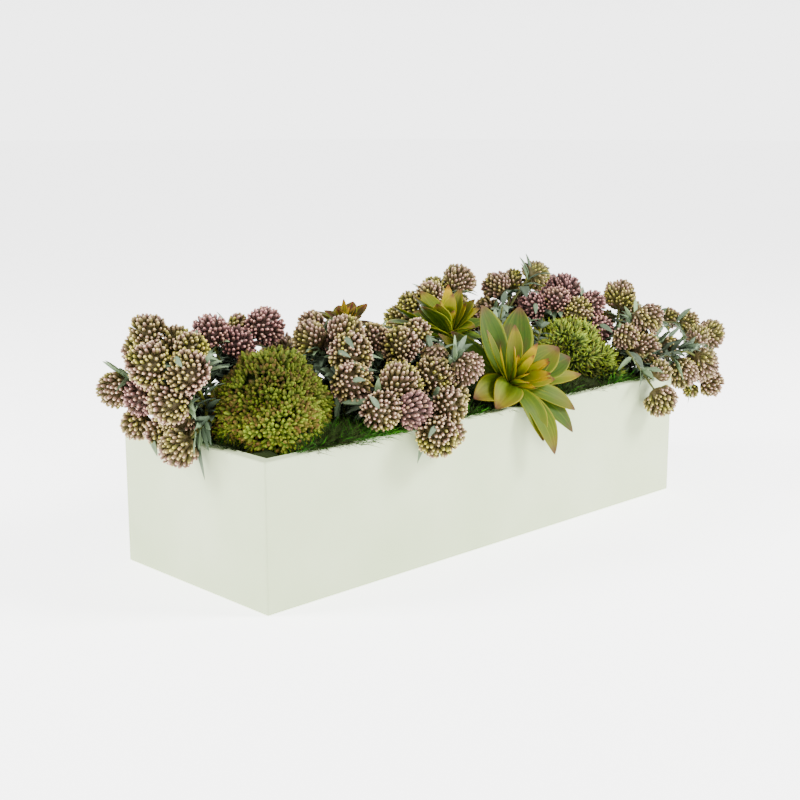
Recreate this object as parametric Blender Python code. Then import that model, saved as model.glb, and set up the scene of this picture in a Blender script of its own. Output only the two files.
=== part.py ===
"""Succulent dish garden: a long box planter filled with foam and moss, planted with sedum sprays,
two cushions of green stonecrop and three rosettes.

Metres, +Z up. The origin is the middle of the planter's underside, +X runs along the planter
and -Y is its front. Every length in the tables and the helpers is in millimetres.
"""

import math
import random

import bmesh
import bpy
import numpy as np
from mathutils import Matrix, Quaternion, Vector
from mathutils.bvhtree import BVHTree

MM = 0.001

# Planter, outside sizes.
LENGTH = 610.0
WIDTH = 220.0
HEIGHT = 140.0
WALL = 12.0
FLOOR = 10.0
EDGE_ROUND = 1.5

# Filling. GAP keeps neighbours from touching.
GAP = 0.3
FOAM_TOP = 118.0
MOSS_TOP = 130.0
MOSS_LUMP = 8.0
MOSS_RISE = 16.0
MOSS_CELL = 44.0

# Sedum sprays.
STEM_FOOT = 62.0
STEM_STRAIGHT = 153.0
TRUNK_RADIUS = 2.7
BRANCH_RADIUS = 1.6
BRANCH_SIDES = 3
TRUNK_SIDES = 4
HEAD_POINTS = 12
HEAD_FULLNESS = 1.12
HEAD_CORE = 0.84
HEAD_FLATTEN = 0.90
HEAD_GAP = 0.8
BUNCH_REACH = 1.12
BUNCH_CLOSE = 0.80
DEPTH_SHARE = 0.3
STAGGER = (0.68, 0.70, -0.20)
SIDEWAYS = 0.3
LEAF_LENGTH = 19.0
LEAF_WIDTH = 6.0
LEAF_THICKNESS = 1.2
LEAF_TRIES = 16
LEAFLESS_EVERY = 3

# Each spray: the colour of its flowers, where its trunk enters the foam, where it forks, and its
# flower heads as x, y, z, radius.
SPRAYS = {
    "sedum_left_front": {
        "tone": "pink_buds",
        "root": (-284, -2),
        "fork": (-290, -2, 178),
        "heads": [
            (-317, -8, 139, 18),
            (-316, 4, 155, 18),
            (-318, 30, 146, 14),
            (-329, -6, 179, 20),
            (-315, -20, 208, 20),
            (-344, 10, 216, 20),
        ],
    },
    "sedum_left_end": {
        "tone": "pink_buds",
        "root": (-274, 46),
        "fork": (-288, 48, 196),
        "heads": [
            (-319, 60, 145, 16),
            (-335, 40, 182, 17),
            (-336, 75, 182, 17),
            (-313, 50, 240, 17),
            (-296, 35, 229, 16),
            (-290, 15, 223, 17),
            (-300, 84, 214, 17),
        ],
    },
    "sedum_left_rear": {
        "tone": "mauve_buds",
        "root": (-212, 66),
        "fork": (-212, 66, 190),
        "heads": [
            (-242, 50, 234, 18),
            (-220, 40, 217, 18),
            (-174, 50, 229, 20),
            (-181, 80, 228, 13),
            (-226, 92, 212, 18),
            (-262, 106, 184, 18),
            (-206, 122, 170, 18),
        ],
    },
    "sedum_middle_left": {
        "tone": "pink_buds",
        "root": (-128, 8),
        "fork": (-130, 2, 186),
        "heads": [
            (-170, -10, 221, 18),
            (-113, 50, 227, 14),
            (-117, 20, 207, 14),
            (-96, 10, 226, 18),
            (-143, -45, 209, 21),
            (-168, -65, 176, 20),
            (-140, 76, 202, 17),
        ],
    },
    "sedum_middle_front": {
        "tone": "pink_buds",
        "root": (-128, -72),
        "fork": (-128, -84, 168),
        "heads": [
            (-129, -80, 190, 21),
            (-112, -92, 154, 18),
            (-170, -108, 156, 19),
            (-142, -133, 129, 20),
            (-101, -126, 134, 14),
            (-85, -116, 152, 18),
        ],
    },
    "sedum_middle_right": {
        "tone": "pink_buds",
        "root": (-42, -58),
        "fork": (-42, -62, 162),
        "heads": [
            (-69, -75, 182, 20),
            (-19, -55, 180, 18),
            (-21, -95, 185, 17),
            (-48, -103, 161, 16),
            (-33, -60, 207, 14),
            (-6, -30, 186, 16),
        ],
    },
    "sedum_middle_back": {
        "tone": "pink_buds",
        "root": (-64, -6),
        "fork": (-60, -8, 186),
        "heads": [
            (-88, -15, 217, 15),
            (-49, 10, 202, 14),
            (-55, -30, 221, 15),
            (-80, -55, 211, 19),
            (-100, 92, 186, 18),
            (-62, 116, 170, 18),
            (-18, 104, 188, 18),
        ],
    },
    "sedum_back_left": {
        "tone": "lime_buds",
        "root": (78, 68),
        "fork": (78, 66, 212),
        "heads": [
            (20, 50, 237, 14),
            (89, 80, 247, 15),
            (68, 50, 241, 16),
            (134, 70, 253, 18),
            (175, 90, 240, 13),
            (52, 96, 208, 18),
            (92, 114, 186, 18),
        ],
    },
    "sedum_back_middle": {
        "tone": "pink_buds",
        "root": (184, 50),
        "fork": (186, 48, 206),
        "heads": [
            (177, 65, 243, 17),
            (161, 50, 220, 15),
            (221, 55, 242, 15),
            (232, 40, 243, 17),
            (160, 104, 204, 18),
            (200, 116, 186, 18),
        ],
    },
    "sedum_back_right": {
        "tone": "mauve_buds",
        "root": (250, 26),
        "fork": (252, 20, 194),
        "heads": [
            (275, 35, 234, 21),
            (278, 60, 232, 16),
            (194, 10, 223, 18),
            (236, 10, 225, 17),
            (228, -30, 207, 19),
            (292, 0, 214, 16),
            (271, -30, 182, 18),
            (250, 96, 200, 18),
        ],
    },
    "sedum_right_front": {
        "tone": "pink_buds",
        "root": (274, -66),
        "fork": (279, -66, 160),
        "heads": [
            (265, -60, 178, 16),
            (317, -60, 198, 20),
            (296, -80, 162, 21),
            (254, -132, 118, 19),
        ],
    },
    "sedum_right_end": {
        "tone": "pink_buds",
        "root": (284, -16),
        "fork": (306, -28, 188),
        "heads": [
            (302, -35, 228, 20),
            (341, -20, 203, 15),
            (393, -40, 190, 13),
            (384, -80, 190, 15),
            (408, -100, 174, 18),
            (330, -90, 166, 13),
            (318, 44, 192, 18),
            (334, 82, 170, 17),
        ],
    },
    "sedum_right_low": {
        "tone": "pink_buds",
        "root": (286, -88),
        "fork": (322, -98, 160),
        "heads": [
            (314, -110, 139, 19),
            (365, -110, 144, 21),
            (383, -115, 118, 16),
        ],
    },
}

# Cushions of stonecrop: domes as x, y, z, radius, and how far their buds stand out.
CUSHIONS = {
    "stonecrop_cushion_left": {
        "bud": 5.5,
        "points": 64,
        "domes": [
            (-227, -19, 163, 58),
            (-238, -51, 150, 42),
            (-178, 2, 160, 30),
        ],
    },
    "stonecrop_cushion_right": {
        "bud": 7.0,
        "points": 52,
        "domes": [
            (206, -26, 160, 44),
            (230, -50, 150, 34),
        ],
    },
}
CUSHION_SOLE = FOAM_TOP + GAP

# Rosettes: where the stalk stands, the crown that the leaves grow from, the way it faces, and the
# leaves as tip x, y, z, width, bow. The bow lifts a leaf's middle off the straight line.
ROSETTES = {
    "rosette_front": {
        "root": (42, -72),
        "crown": (42, -86, 158),
        "axis": (-0.22, -0.72, 0.66),
        "leaves": [
            (3, -80, 246, 36, -8),
            (75, -70, 237, 36, -4),
            (38, -95, 224, 21, 2),
            (-20, -108, 226, 17, -4),
            (-10, -118, 211, 15, -5),
            (6, -122, 208, 18, 5),
            (48, -118, 206, 17, 5),
            (62, -124, 186, 16, 3),
            (54, -132, 175, 19, 6),
            (16, -134, 170, 14, 6),
            (110, -96, 192, 34, 4),
            (130, -96, 179, 32, 6),
            (143, -102, 159, 19, 4),
            (79, -117, 164, 20, 6),
            (102, -127, 129, 23, 16),
            (95, -130, 106, 23, 22),
            (46, -130, 104, 25, 24),
            (58, -136, 89, 26, 28),
            (-16, -55, 218, 25, -4),
            (-30, -50, 217, 18, -6),
            (-27, -98, 155, 33, 14),
            (-10, -113, 144, 33, 22),
        ],
    },
    "rosette_middle": {
        "root": (44, 6),
        "crown": (40, 2, 200),
        "axis": (-0.25, -0.15, 0.95),
        "leaves": [
            (-52, -4, 244, 17, -3),
            (-12, 4, 250, 27, 2),
            (-14, -12, 240, 20, 3),
            (-66, -14, 228, 22, 4),
            (44, 6, 257, 13, 3),
            (60, 2, 251, 13, 3),
            (70, -10, 240, 14, 4),
            (62, -24, 232, 16, 4),
            (-4, -24, 243, 13, 2),
            (44, -34, 214, 17, 8),
            (32, 36, 248, 16, 5),
            (80, 22, 228, 16, 6),
        ],
    },
    "rosette_back": {
        "root": (-70, 52),
        "crown": (-66, 52, 212),
        "axis": (-0.1, -0.1, 0.98),
        "leaves": [
            (-30, 56, 238, 18, 4),
            (-82, 46, 238, 15, 3),
            (-102, 62, 236, 14, 5),
            (-56, 44, 240, 12, 3),
            (-48, 80, 234, 14, 5),
            (-84, 82, 232, 14, 5),
            (-62, 58, 246, 10, 2),
        ],
    },
}
STALK_RADIUS = 3.4
CORE_RADIUS = 7.5
LEAF_STATIONS = (0.05, 0.36, 0.68, 0.9)
NARROW_STATIONS = (0.05, 0.5, 0.86)
NARROW_LEAF = 24.0
LEAF_FOOT = 0.32
LEAF_ABOVE = 0.8
LEAF_BELOW = 2.2

COLOURS = {
    "sage_paint": ((0.68, 0.71, 0.62), 0.55),
    "floral_foam": ((0.10, 0.16, 0.06), 0.95),
    "moss": ((0.08, 0.15, 0.02), 0.95),
    "stonecrop": ((0.22, 0.30, 0.05), 0.75),
    "rosette_leaf": ((0.24, 0.40, 0.09), 0.5),
    "sedum_stem": ((0.17, 0.25, 0.19), 0.7),
    "pink_buds": ((0.42, 0.28, 0.24), 0.65),
    "mauve_buds": ((0.28, 0.13, 0.17), 0.65),
    "lime_buds": ((0.33, 0.38, 0.09), 0.65),
}


def clear_scene():
    for thing in list(bpy.data.objects):
        bpy.data.objects.remove(thing)


def finish_of(name):
    """The material of that name, made once."""
    found = bpy.data.materials.get(name)
    if found:
        return found
    colour, roughness = COLOURS[name]
    made = bpy.data.materials.new(name)
    made.use_nodes = True
    shader = made.node_tree.nodes["Principled BSDF"]
    shader.inputs["Base Color"].default_value = (*colour, 1.0)
    shader.inputs["Roughness"].default_value = roughness
    shader.inputs["Metallic"].default_value = 0.0
    return made


def add_object(name, mesh, finish):
    made = bpy.data.objects.new(name, mesh)
    bpy.context.scene.collection.objects.link(made)
    mesh.materials.clear()
    mesh.materials.append(finish_of(finish))
    return made


def mesh_from(points, faces):
    """A mesh of points in millimetres, with its faces turned outwards."""
    mesh = bpy.data.meshes.new("shape")
    mesh.from_pydata([Vector(p) * MM for p in points], [], faces)
    shape = bmesh.new()
    shape.from_mesh(mesh)
    bmesh.ops.recalc_face_normals(shape, faces=shape.faces)
    shape.to_mesh(mesh)
    shape.free()
    return mesh


def apply_modifiers(thing):
    """Replaces the object's mesh by what its modifiers make of it."""
    graph = bpy.context.evaluated_depsgraph_get()
    baked = bpy.data.meshes.new_from_object(thing.evaluated_get(graph))
    thing.modifiers.clear()
    thing.data = baked


def combine(thing, meshes, operation, solver="EXACT"):
    """Joins meshes to the object, or cuts them out of it, in one Boolean on a collection."""
    if not meshes:
        return
    others = bpy.data.collections.new("pieces")
    bpy.context.scene.collection.children.link(others)
    for mesh in meshes:
        others.objects.link(bpy.data.objects.new("piece", mesh))
    boolean = thing.modifiers.new("boolean", "BOOLEAN")
    boolean.operation = operation
    boolean.operand_type = "COLLECTION"
    boolean.collection = others
    boolean.solver = solver
    apply_modifiers(thing)
    for piece in list(others.objects):
        bpy.data.objects.remove(piece)
    bpy.data.collections.remove(others)
    drop_scraps(thing)


def bodies_of(shape):
    """The separate bodies of a mesh as sets of corners, the largest first."""
    left = set(shape.verts)
    islands = []
    while left:
        island = set()
        reach = [left.pop()]
        while reach:
            vert = reach.pop()
            island.add(vert)
            for edge in vert.link_edges:
                other = edge.other_vert(vert)
                if other in left:
                    left.discard(other)
                    reach.append(other)
        islands.append(island)
    return sorted(islands, key=len, reverse=True)


def drop_scraps(thing):
    """Keeps only the largest of the bodies that a Boolean leaves."""
    shape = bmesh.new()
    shape.from_mesh(thing.data)
    for island in bodies_of(shape)[1:]:
        print("scrap of", len(island), "corners dropped from", thing.name)
        bmesh.ops.delete(shape, geom=list(island), context="VERTS")
    shape.to_mesh(thing.data)
    shape.free()


def touching_groups(meshes):
    """The meshes sorted into groups whose members touch one another."""
    trees = [tree_of(mesh) for mesh in meshes]
    groups = []
    left = set(range(len(meshes)))
    while left:
        group, reach = set(), [left.pop()]
        while reach:
            at = reach.pop()
            group.add(at)
            near = {other for other in left if trees[at].overlap(trees[other])}
            left -= near
            reach += near
        groups.append([meshes[at] for at in sorted(group)])
    return groups


def fuse(name, meshes, finish):
    """One body from meshes that overlap."""
    whole = add_object(name, meshes[0], finish)
    combine(whole, meshes[1:], "UNION")
    return whole


def tree_of(mesh):
    shape = bmesh.new()
    shape.from_mesh(mesh)
    tree = BVHTree.FromBMesh(shape)
    shape.free()
    return tree


def box_mesh(low, high):
    """A box between two corners."""
    corners = [(x, y, z) for x in (low[0], high[0]) for y in (low[1], high[1]) for z in (low[2], high[2])]
    faces = [(0, 1, 3, 2), (4, 6, 7, 5), (0, 4, 5, 1), (2, 3, 7, 6), (0, 2, 6, 4), (1, 5, 7, 3)]
    return mesh_from(corners, faces)


def tube_mesh(path, radius, tip_radius=None, sides=TRUNK_SIDES):
    """A round bar along the path, narrowing evenly to its tip radius."""
    path = [Vector(p) for p in path]
    tip_radius = radius if tip_radius is None else tip_radius
    points = []
    across = None
    for i, place in enumerate(path):
        ahead = (path[min(i + 1, len(path) - 1)] - path[max(i - 1, 0)]).normalized()
        if across is None:
            across = ahead.orthogonal().normalized()
        across = (across - ahead * across.dot(ahead)).normalized()
        beside = ahead.cross(across)
        size = radius + (tip_radius - radius) * i / (len(path) - 1)
        for k in range(sides):
            turn = 2 * math.pi * k / sides
            points.append(place + (across * math.cos(turn) + beside * math.sin(turn)) * size)
    faces = [tuple(range(sides)), tuple(range(len(points) - sides, len(points)))]
    for i in range(len(path) - 1):
        for k in range(sides):
            near, far = i * sides, (i + 1) * sides
            faces.append((near + k, near + (k + 1) % sides, far + (k + 1) % sides, far + k))
    return mesh_from(points, faces)


def curve_points(start, control, end, shares):
    """Places on the curve that leaves start towards control and comes to end from it."""
    start, control, end = np.array(start, float), np.array(control, float), np.array(end, float)
    t = np.array(shares, float)[:, None]
    return start * (1 - t) ** 2 + control * (2 * t * (1 - t)) + end * t**2


def blade_mesh(spine, widths, upward, above, below):
    """A pointed blade along the spine, with a keel below that meets its edges, and a rib above or, where
    above is None, a flat face. The last place of the spine is the tip."""
    spine = [Vector(p) for p in spine]
    ring = 3 if above is None else 4
    points = []
    for i, place in enumerate(spine[:-1]):
        ahead = (spine[i + 1] - spine[max(i - 1, 0)]).normalized()
        side = ahead.cross(upward).normalized()
        over = side.cross(ahead).normalized()
        half = widths[i] / 2
        thin = 1.0 if i < len(spine) - 2 else 0.7
        points += [place - over * below * thin, place + side * half]
        points += [place + over * above * thin] if above is not None else []
        points += [place - side * half]
    faces = [tuple(range(ring))]
    for i in range(len(spine) - 2):
        for k in range(ring):
            a, b = i * ring + k, i * ring + (k + 1) % ring
            c, d = b + ring, a + ring
            faces += [(a, b, c), (a, c, d)] if k % 2 else [(a, b, d), (b, c, d)]
    last = (len(spine) - 2) * ring
    tip = len(points)
    points.append(spine[-1])
    faces += [(last + k, last + (k + 1) % ring, tip) for k in range(ring)]
    return mesh_from(points, faces)


def ball_points(count, spin):
    """Points spread evenly over a unit ball by the golden angle, turned by spin."""
    found = []
    for i in range(count):
        height = 1 - (2 * i + 1) / count
        ring = math.sqrt(1 - height * height)
        turn = i * math.pi * (3 - math.sqrt(5))
        found.append(spin @ Vector((ring * math.cos(turn), ring * math.sin(turn), height)))
    return found


def budded_hull(points, middle, bud_out, is_bare):
    """The hull of the points, with a bud drawn out of each face, except where is_bare says so."""
    shape = bmesh.new()
    for point in points:
        shape.verts.new(point)
    bmesh.ops.convex_hull(shape, input=shape.verts)
    bmesh.ops.triangulate(shape, faces=shape.faces)
    for face in list(shape.faces):
        centre = face.calc_center_median()
        out = (centre - middle).normalized()
        if is_bare(face, out):
            continue
        tip = shape.verts.new(bud_out(centre, out))
        rim = list(face.verts)
        shape.faces.remove(face)
        for a, b in zip(rim, rim[1:] + rim[:1]):
            shape.faces.new((a, b, tip))
    loose = [vert for vert in shape.verts if not vert.link_faces]
    bmesh.ops.delete(shape, geom=loose, context="VERTS")
    bmesh.ops.recalc_face_normals(shape, faces=shape.faces)
    bmesh.ops.scale(shape, vec=(MM, MM, MM), verts=shape.verts)
    mesh = bpy.data.meshes.new("budded")
    shape.to_mesh(mesh)
    shape.free()
    return mesh


def head_mesh(centre, radius, axis, draw):
    """A sedum flower head: a ball of pointed buds, flattened along its stalk and bare where the stalk comes in."""
    centre, axis = Vector(centre), Vector(axis).normalized()
    spin = Quaternion(axis, draw.uniform(0, math.tau)).to_matrix() @ axis.to_track_quat("Z", "Y").to_matrix()
    squash = Matrix.Scale(HEAD_FLATTEN, 3, axis)
    points = [centre + squash @ p * (radius * HEAD_CORE) for p in ball_points(HEAD_POINTS, spin)]

    def bud_out(place, out):
        return centre + squash @ out * (radius * draw.uniform(0.92, 1.0))

    return budded_hull(points, centre, bud_out, lambda face, out: out.dot(axis) < -0.7)


def all_heads():
    """Every flower head as its place, radius, spray, and the bunch of the spray that it holds together with:
    heads that the shortest links between a spray's heads join, where a link is short enough."""
    heads, links = [], []
    for name, spray in SPRAYS.items():
        first = len(heads)
        for number, head in enumerate(spray["heads"]):
            place = np.array(head[:3], float)
            made = {"place": place, "radius": head[3] * HEAD_FULLNESS, "spray": name, "number": number}
            heads.append({**made, "bunch": len(heads)})
        joined = [first]
        waiting = list(range(first + 1, len(heads)))
        while waiting:
            pairs = [(stretch_of(heads[i], heads[j]), i, j) for i in joined for j in waiting]
            stretch, i, j = min(pairs)
            joined.append(j)
            waiting.remove(j)
            if stretch < BUNCH_REACH:
                links.append((i, j))
                old, new = heads[j]["bunch"], heads[i]["bunch"]
                for head in heads:
                    if head["bunch"] == old:
                        head["bunch"] = new
    return heads, links


def stretch_of(head, other):
    """How far apart two heads are, for their size, where apart front to back counts little."""
    line = head["place"] - other["place"]
    stagger = np.array(STAGGER) / np.linalg.norm(STAGGER)
    along = line.dot(stagger)
    across = np.linalg.norm(line - stagger * along)
    return math.hypot(across, along * DEPTH_SHARE) / (head["radius"] + other["radius"])


def settle(heads, links, solids):
    """Moves heads until those of one bunch press into each other and all others stand clear, also of the
    solids, which are balls as x, y, z, radius, and of the filled planter. They give way front to back more
    than sideways."""
    places = np.array([head["place"] for head in heads])
    radii = np.array([head["radius"] for head in heads])
    bunches = np.array([head["bunch"] for head in heads])
    reach = radii[:, None] + radii[None, :]
    together = bunches[:, None] == bunches[None, :]
    least = np.where(together, reach * (BUNCH_CLOSE - 0.05), reach + HEAD_GAP)
    linked = np.zeros(reach.shape, bool)
    for i, j in links:
        linked[i, j] = linked[j, i] = True
    stagger = np.array(STAGGER) / np.linalg.norm(STAGGER)
    low = np.array([-LENGTH / 2, -WIDTH / 2, 0.0])
    high = np.array([LENGTH / 2, WIDTH / 2, HEIGHT])
    for _ in range(400):
        line = places[:, None] - places[None, :]
        apart = np.linalg.norm(line, axis=2) + np.eye(len(heads))
        short = np.clip(least - apart, 0, None)
        slack = np.where(linked, np.clip(apart - reach * BUNCH_CLOSE, 0, None), 0)
        push = (short - slack) / apart
        np.fill_diagonal(push, 0)
        places += 0.3 * SIDEWAYS * (line * push[:, :, None]).sum(axis=1)
        along = line @ stagger
        across = apart**2 - along**2
        wider = np.clip(np.sqrt(np.clip(least**2 - across, 0, None)) - np.abs(along), 0, None)
        closer = np.abs(along) - np.sqrt(np.clip((reach * BUNCH_CLOSE) ** 2 - across, 0, None))
        closer = np.where(linked, np.clip(closer, 0, None), 0)
        ahead = np.where(along > 0, 1, -1) * (wider - closer)
        np.fill_diagonal(ahead, 0)
        places += 0.3 * (1 - SIDEWAYS) * ahead.sum(axis=1)[:, None] * stagger
        line = places[:, None] - solids[None, :, :3]
        apart = np.linalg.norm(line, axis=2)
        short = np.clip(radii[:, None] + solids[None, :, 3] + HEAD_GAP - apart, 0, None)
        places += 0.6 * (line * (short / apart)[:, :, None]).sum(axis=1)
        nearest = np.clip(places, low, high)
        line = places - nearest
        apart = np.linalg.norm(line, axis=1) + 0.001
        short = np.clip(radii + HEAD_GAP - apart, 0, None)
        places += line * (short / apart)[:, None]
    for head, place in zip(heads, places):
        head["place"] = place


def leaf_control(rosette, leaf):
    """The place that a rosette leaf's middle line bows towards, and the way its face looks."""
    crown, tip = np.array(rosette["crown"], float), np.array(leaf[:3], float)
    chord = tip - crown
    chord /= np.linalg.norm(chord)
    axis = np.array(rosette["axis"], float)
    bow = axis - chord * axis.dot(chord)
    length = np.linalg.norm(bow)
    bow = bow / length if length > 0.1 else np.zeros(3)
    return (crown + tip) / 2 + bow * leaf[4], bow


def leaf_width(share):
    """How wide a rosette leaf is along its length, as a share of its full width."""
    if share <= 0.6:
        return LEAF_FOOT + (1 - LEAF_FOOT) * math.sin(share / 0.6 * math.pi / 2)
    return math.sqrt(max(0.0, 1 - ((share - 0.6) / 0.4) ** 2))


def leaf_blade(rosette, leaf, swell=0.0):
    """A rosette leaf, thicker and wider all round by swell."""
    crown = np.array(rosette["crown"], float)
    control, bow = leaf_control(rosette, leaf)
    tip = np.array(leaf[:3], float)
    tip += (tip - control) / np.linalg.norm(tip - control) * swell * 2
    stations = NARROW_STATIONS if leaf[3] < NARROW_LEAF else LEAF_STATIONS
    spine = curve_points(crown, control, tip, (*stations, 1.0))
    widths = [leaf[3] * leaf_width(share) + swell * 4 for share in stations]
    upward = Vector(bow) if np.any(bow) else Vector((1, 0, 0))
    return blade_mesh(spine, widths, upward, LEAF_ABOVE + swell, LEAF_BELOW + swell)


def leaf_balls(rosette):
    """Balls, as x, y, z, radius, that stand for a rosette's leaves where heads and stems keep clear of them."""
    balls = []
    crown = np.array(rosette["crown"], float)
    for leaf in rosette["leaves"]:
        control, bow = leaf_control(rosette, leaf)
        shares = (0.3, 0.5, 0.7, 0.9, 1.0)
        spine = curve_points(crown, control, leaf[:3], shares)
        chord = np.array(leaf[:3]) - crown
        side = np.cross(chord, bow)
        side /= np.linalg.norm(side) + 0.001
        for share, place in zip(shares, spine):
            half = leaf[3] * leaf_width(share) / 2
            balls += [(*(place + side * half * across), 1.5 + half * 0.3) for across in (-0.7, 0, 0.7)]
    stalk = np.linspace((*rosette["root"], HEIGHT), rosette["crown"], 6)
    return balls + [(*place, 5.0) for place in stalk]


def rosette_meshes(rosette):
    """The stalk of a rosette and its leaves."""
    crown, axis = Vector(rosette["crown"]), Vector(rosette["axis"]).normalized()
    root = Vector((*rosette["root"], STEM_FOOT))
    knee = Vector((*rosette["root"], STEM_STRAIGHT))
    stalk = [root, knee, crown - axis * 3, crown + axis * 5]
    meshes = [tube_mesh(stalk, STALK_RADIUS, STALK_RADIUS, 6)]
    core = [crown + point * CORE_RADIUS for point in ball_points(14, Matrix.Identity(3))]
    meshes.append(budded_hull(core, crown, None, lambda face, out: True))
    return meshes + [leaf_blade(rosette, leaf) for leaf in rosette["leaves"]]


def branch_start(head):
    """Where a head's branch leaves the trunk: the lower heads' branches lower down."""
    spray = SPRAYS[head["spray"]]
    trunk = trunk_path(spray)
    order = sorted(spray["heads"], key=lambda row: row[2])
    step = (order.index(spray["heads"][head["number"]]) + 1) / len(order)
    return trunk[2] + (trunk[3] - trunk[2]) * step


def branch_choices(fork, place):
    """Curves from the fork to a head, straight or arched up, down and sideways."""
    place = np.array(place, float)
    reach = np.linalg.norm(place - fork)
    side = np.cross(place - fork, (0, 0, 1))
    side /= np.linalg.norm(side) + 0.001
    for lift in (0.1, 0.25, 0.4, 0.6, 0.8, -0.1):
        for sway in (0, 0.2, -0.2, 0.45, -0.45):
            bend = np.array((0, 0, lift * reach)) + side * sway * reach
            yield (fork + place) / 2 + bend, abs(lift - 0.1) + abs(sway)


def crowding(path, own, heads, solids, strangers):
    """How badly a branch runs into other heads, the solids, the branches of other sprays and the planter."""
    free = path[np.linalg.norm(path - own["place"], axis=1) > own["radius"] * 0.9]
    if not len(free):
        return 0.0
    cost = 0.0
    for head in heads:
        if head is own:
            continue
        room = np.linalg.norm(free - head["place"], axis=1) - head["radius"] - BRANCH_RADIUS - 1
        cost += np.clip(-room, 0, None).sum() * (0.3 if head["spray"] == own["spray"] else 2.0)
    room = np.linalg.norm(free[:, None] - solids[None, :, :3], axis=2) - solids[None, :, 3] - BRANCH_RADIUS - 1
    cost += 20 * np.clip(-room, 0, None).sum()
    if len(strangers):
        room = np.linalg.norm(free[:, None] - strangers[None], axis=2) - 2 * BRANCH_RADIUS - 2.5
        cost += 50 * np.clip(-room, 0, None).sum()
    block = np.array([LENGTH / 2, WIDTH / 2, HEIGHT]) + BRANCH_RADIUS + 2
    inside = np.clip((block - np.abs(free)).min(axis=1), 0, None)
    return cost + 50 * inside.sum()


def grow_branches(heads, solids):
    """The branch of each head: the choice that is least crowded once all the others stand."""
    shares = np.linspace(0, 1, 28)
    trunks = {name: trunk_path(spray) for name, spray in SPRAYS.items()}
    fine = {name: np.concatenate([np.linspace(a, b, 8) for a, b in zip(t, t[1:])]) for name, t in trunks.items()}
    for head in heads:
        head["control"] = None
        head["start"] = branch_start(head)
    for _ in range(2):
        for head in heads:
            strangers = [fine[name] for name in SPRAYS if name != head["spray"]]
            strangers += [
                curve_points(o["start"], o["control"], o["place"], shares)
                for o in heads
                if o["spray"] != head["spray"] and o["control"] is not None
            ]
            strangers = np.concatenate(strangers)
            strangers = strangers[np.linalg.norm(strangers - head["place"], axis=1) < 130]
            best = None
            for control, bent in branch_choices(head["start"], head["place"]):
                path = curve_points(head["start"], control, head["place"], shares)
                cost = crowding(path, head, heads, solids, strangers) + bent
                if best is None or cost < best:
                    best, head["control"] = cost, control
            head["cost"] = best


def trunk_path(spray):
    """From the foot in the foam, straight up through the moss, and on to the fork."""
    foot = np.array((*spray["root"], STEM_FOOT))
    out = np.array((*spray["root"], STEM_STRAIGHT))
    fork = np.array(spray["fork"], float)
    return [foot, out, (out + fork) / 2 + (0, 0, 4), fork]


def branch_tubes(spray, heads, swell=0.0):
    """The trunk and branches of a spray as bars, thicker all round and longer by swell."""
    trunk = [Vector(p) for p in trunk_path(spray)]
    over = swell / math.cos(math.pi / TRUNK_SIDES)
    tubes = [tube_mesh(trunk, TRUNK_RADIUS + over, BRANCH_RADIUS * 1.2 + over)]
    over = swell / math.cos(math.pi / BRANCH_SIDES)
    for head in heads:
        path = curve_points(head["start"], head["control"], head["place"], (0, 0.5, 1))
        ahead = path[-1] - path[-2]
        path[-1] += ahead / np.linalg.norm(ahead) * swell
        tubes.append(tube_mesh(path, BRANCH_RADIUS * 1.1 + over, BRANCH_RADIUS * 0.9 + over, BRANCH_SIDES))
    return tubes


def stalk_way(head):
    """The way that a branch comes into its head."""
    ahead = head["place"] - head["control"]
    return ahead / np.linalg.norm(ahead)


def hole_cutters():
    """Plain holes in the filling for every trunk and stalk."""
    cutters = []
    for spray in SPRAYS.values():
        foot, top = (*spray["root"], STEM_FOOT - GAP), (*spray["root"], HEIGHT + 20)
        cutters.append(tube_mesh([foot, top], TRUNK_RADIUS + GAP * 1.3))
    for rosette in ROSETTES.values():
        foot, top = (*rosette["root"], STEM_FOOT - GAP), (*rosette["root"], HEIGHT + 20)
        cutters.append(tube_mesh([foot, top], STALK_RADIUS + GAP * 1.3, sides=6))
    return cutters


def dome_mesh(dome, cushion, draw):
    """One dome of a cushion: a flat sole on the foam, a bare foot in the moss and buds all over the rest."""
    centre, radius = Vector(dome[:3]), dome[3]
    drop = centre.z - CUSHION_SOLE
    foot = min(radius * 0.96, math.sqrt(max(radius**2 - (centre.z - HEIGHT) ** 2, 1)))
    points = []
    for out in ball_points(cushion["points"], Quaternion((0, 0, 1), draw.uniform(0, math.tau)).to_matrix()):
        if out.z * radius > HEIGHT - centre.z:
            points.append(centre + out * (radius - cushion["bud"]) * draw.uniform(0.97, 1.03))
    for height in (HEIGHT, CUSHION_SOLE):
        for k in range(12):
            turn = math.tau * k / 12
            points.append(Vector((centre.x + foot * math.cos(turn), centre.y + foot * math.sin(turn), height)))
    return budded_hull(
        points,
        centre - Vector((0, 0, drop * 0.3)),
        lambda place, out: place + out * (cushion["bud"] * draw.uniform(0.8, 1.15)),
        lambda face, out: min(vert.co.z for vert in face.verts) < HEIGHT - 1,
    )


def foot_cutters(cushion):
    """The round holes in the moss that a cushion's domes sit in."""
    cutters = []
    for dome in cushion["domes"]:
        x, y, _, radius = dome
        reach = (radius + 1.5) / math.cos(math.pi / 12)
        cutters.append(tube_mesh([(x, y, FOAM_TOP - 1), (x, y, HEIGHT + 20)], reach, sides=12))
    return cutters


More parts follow.
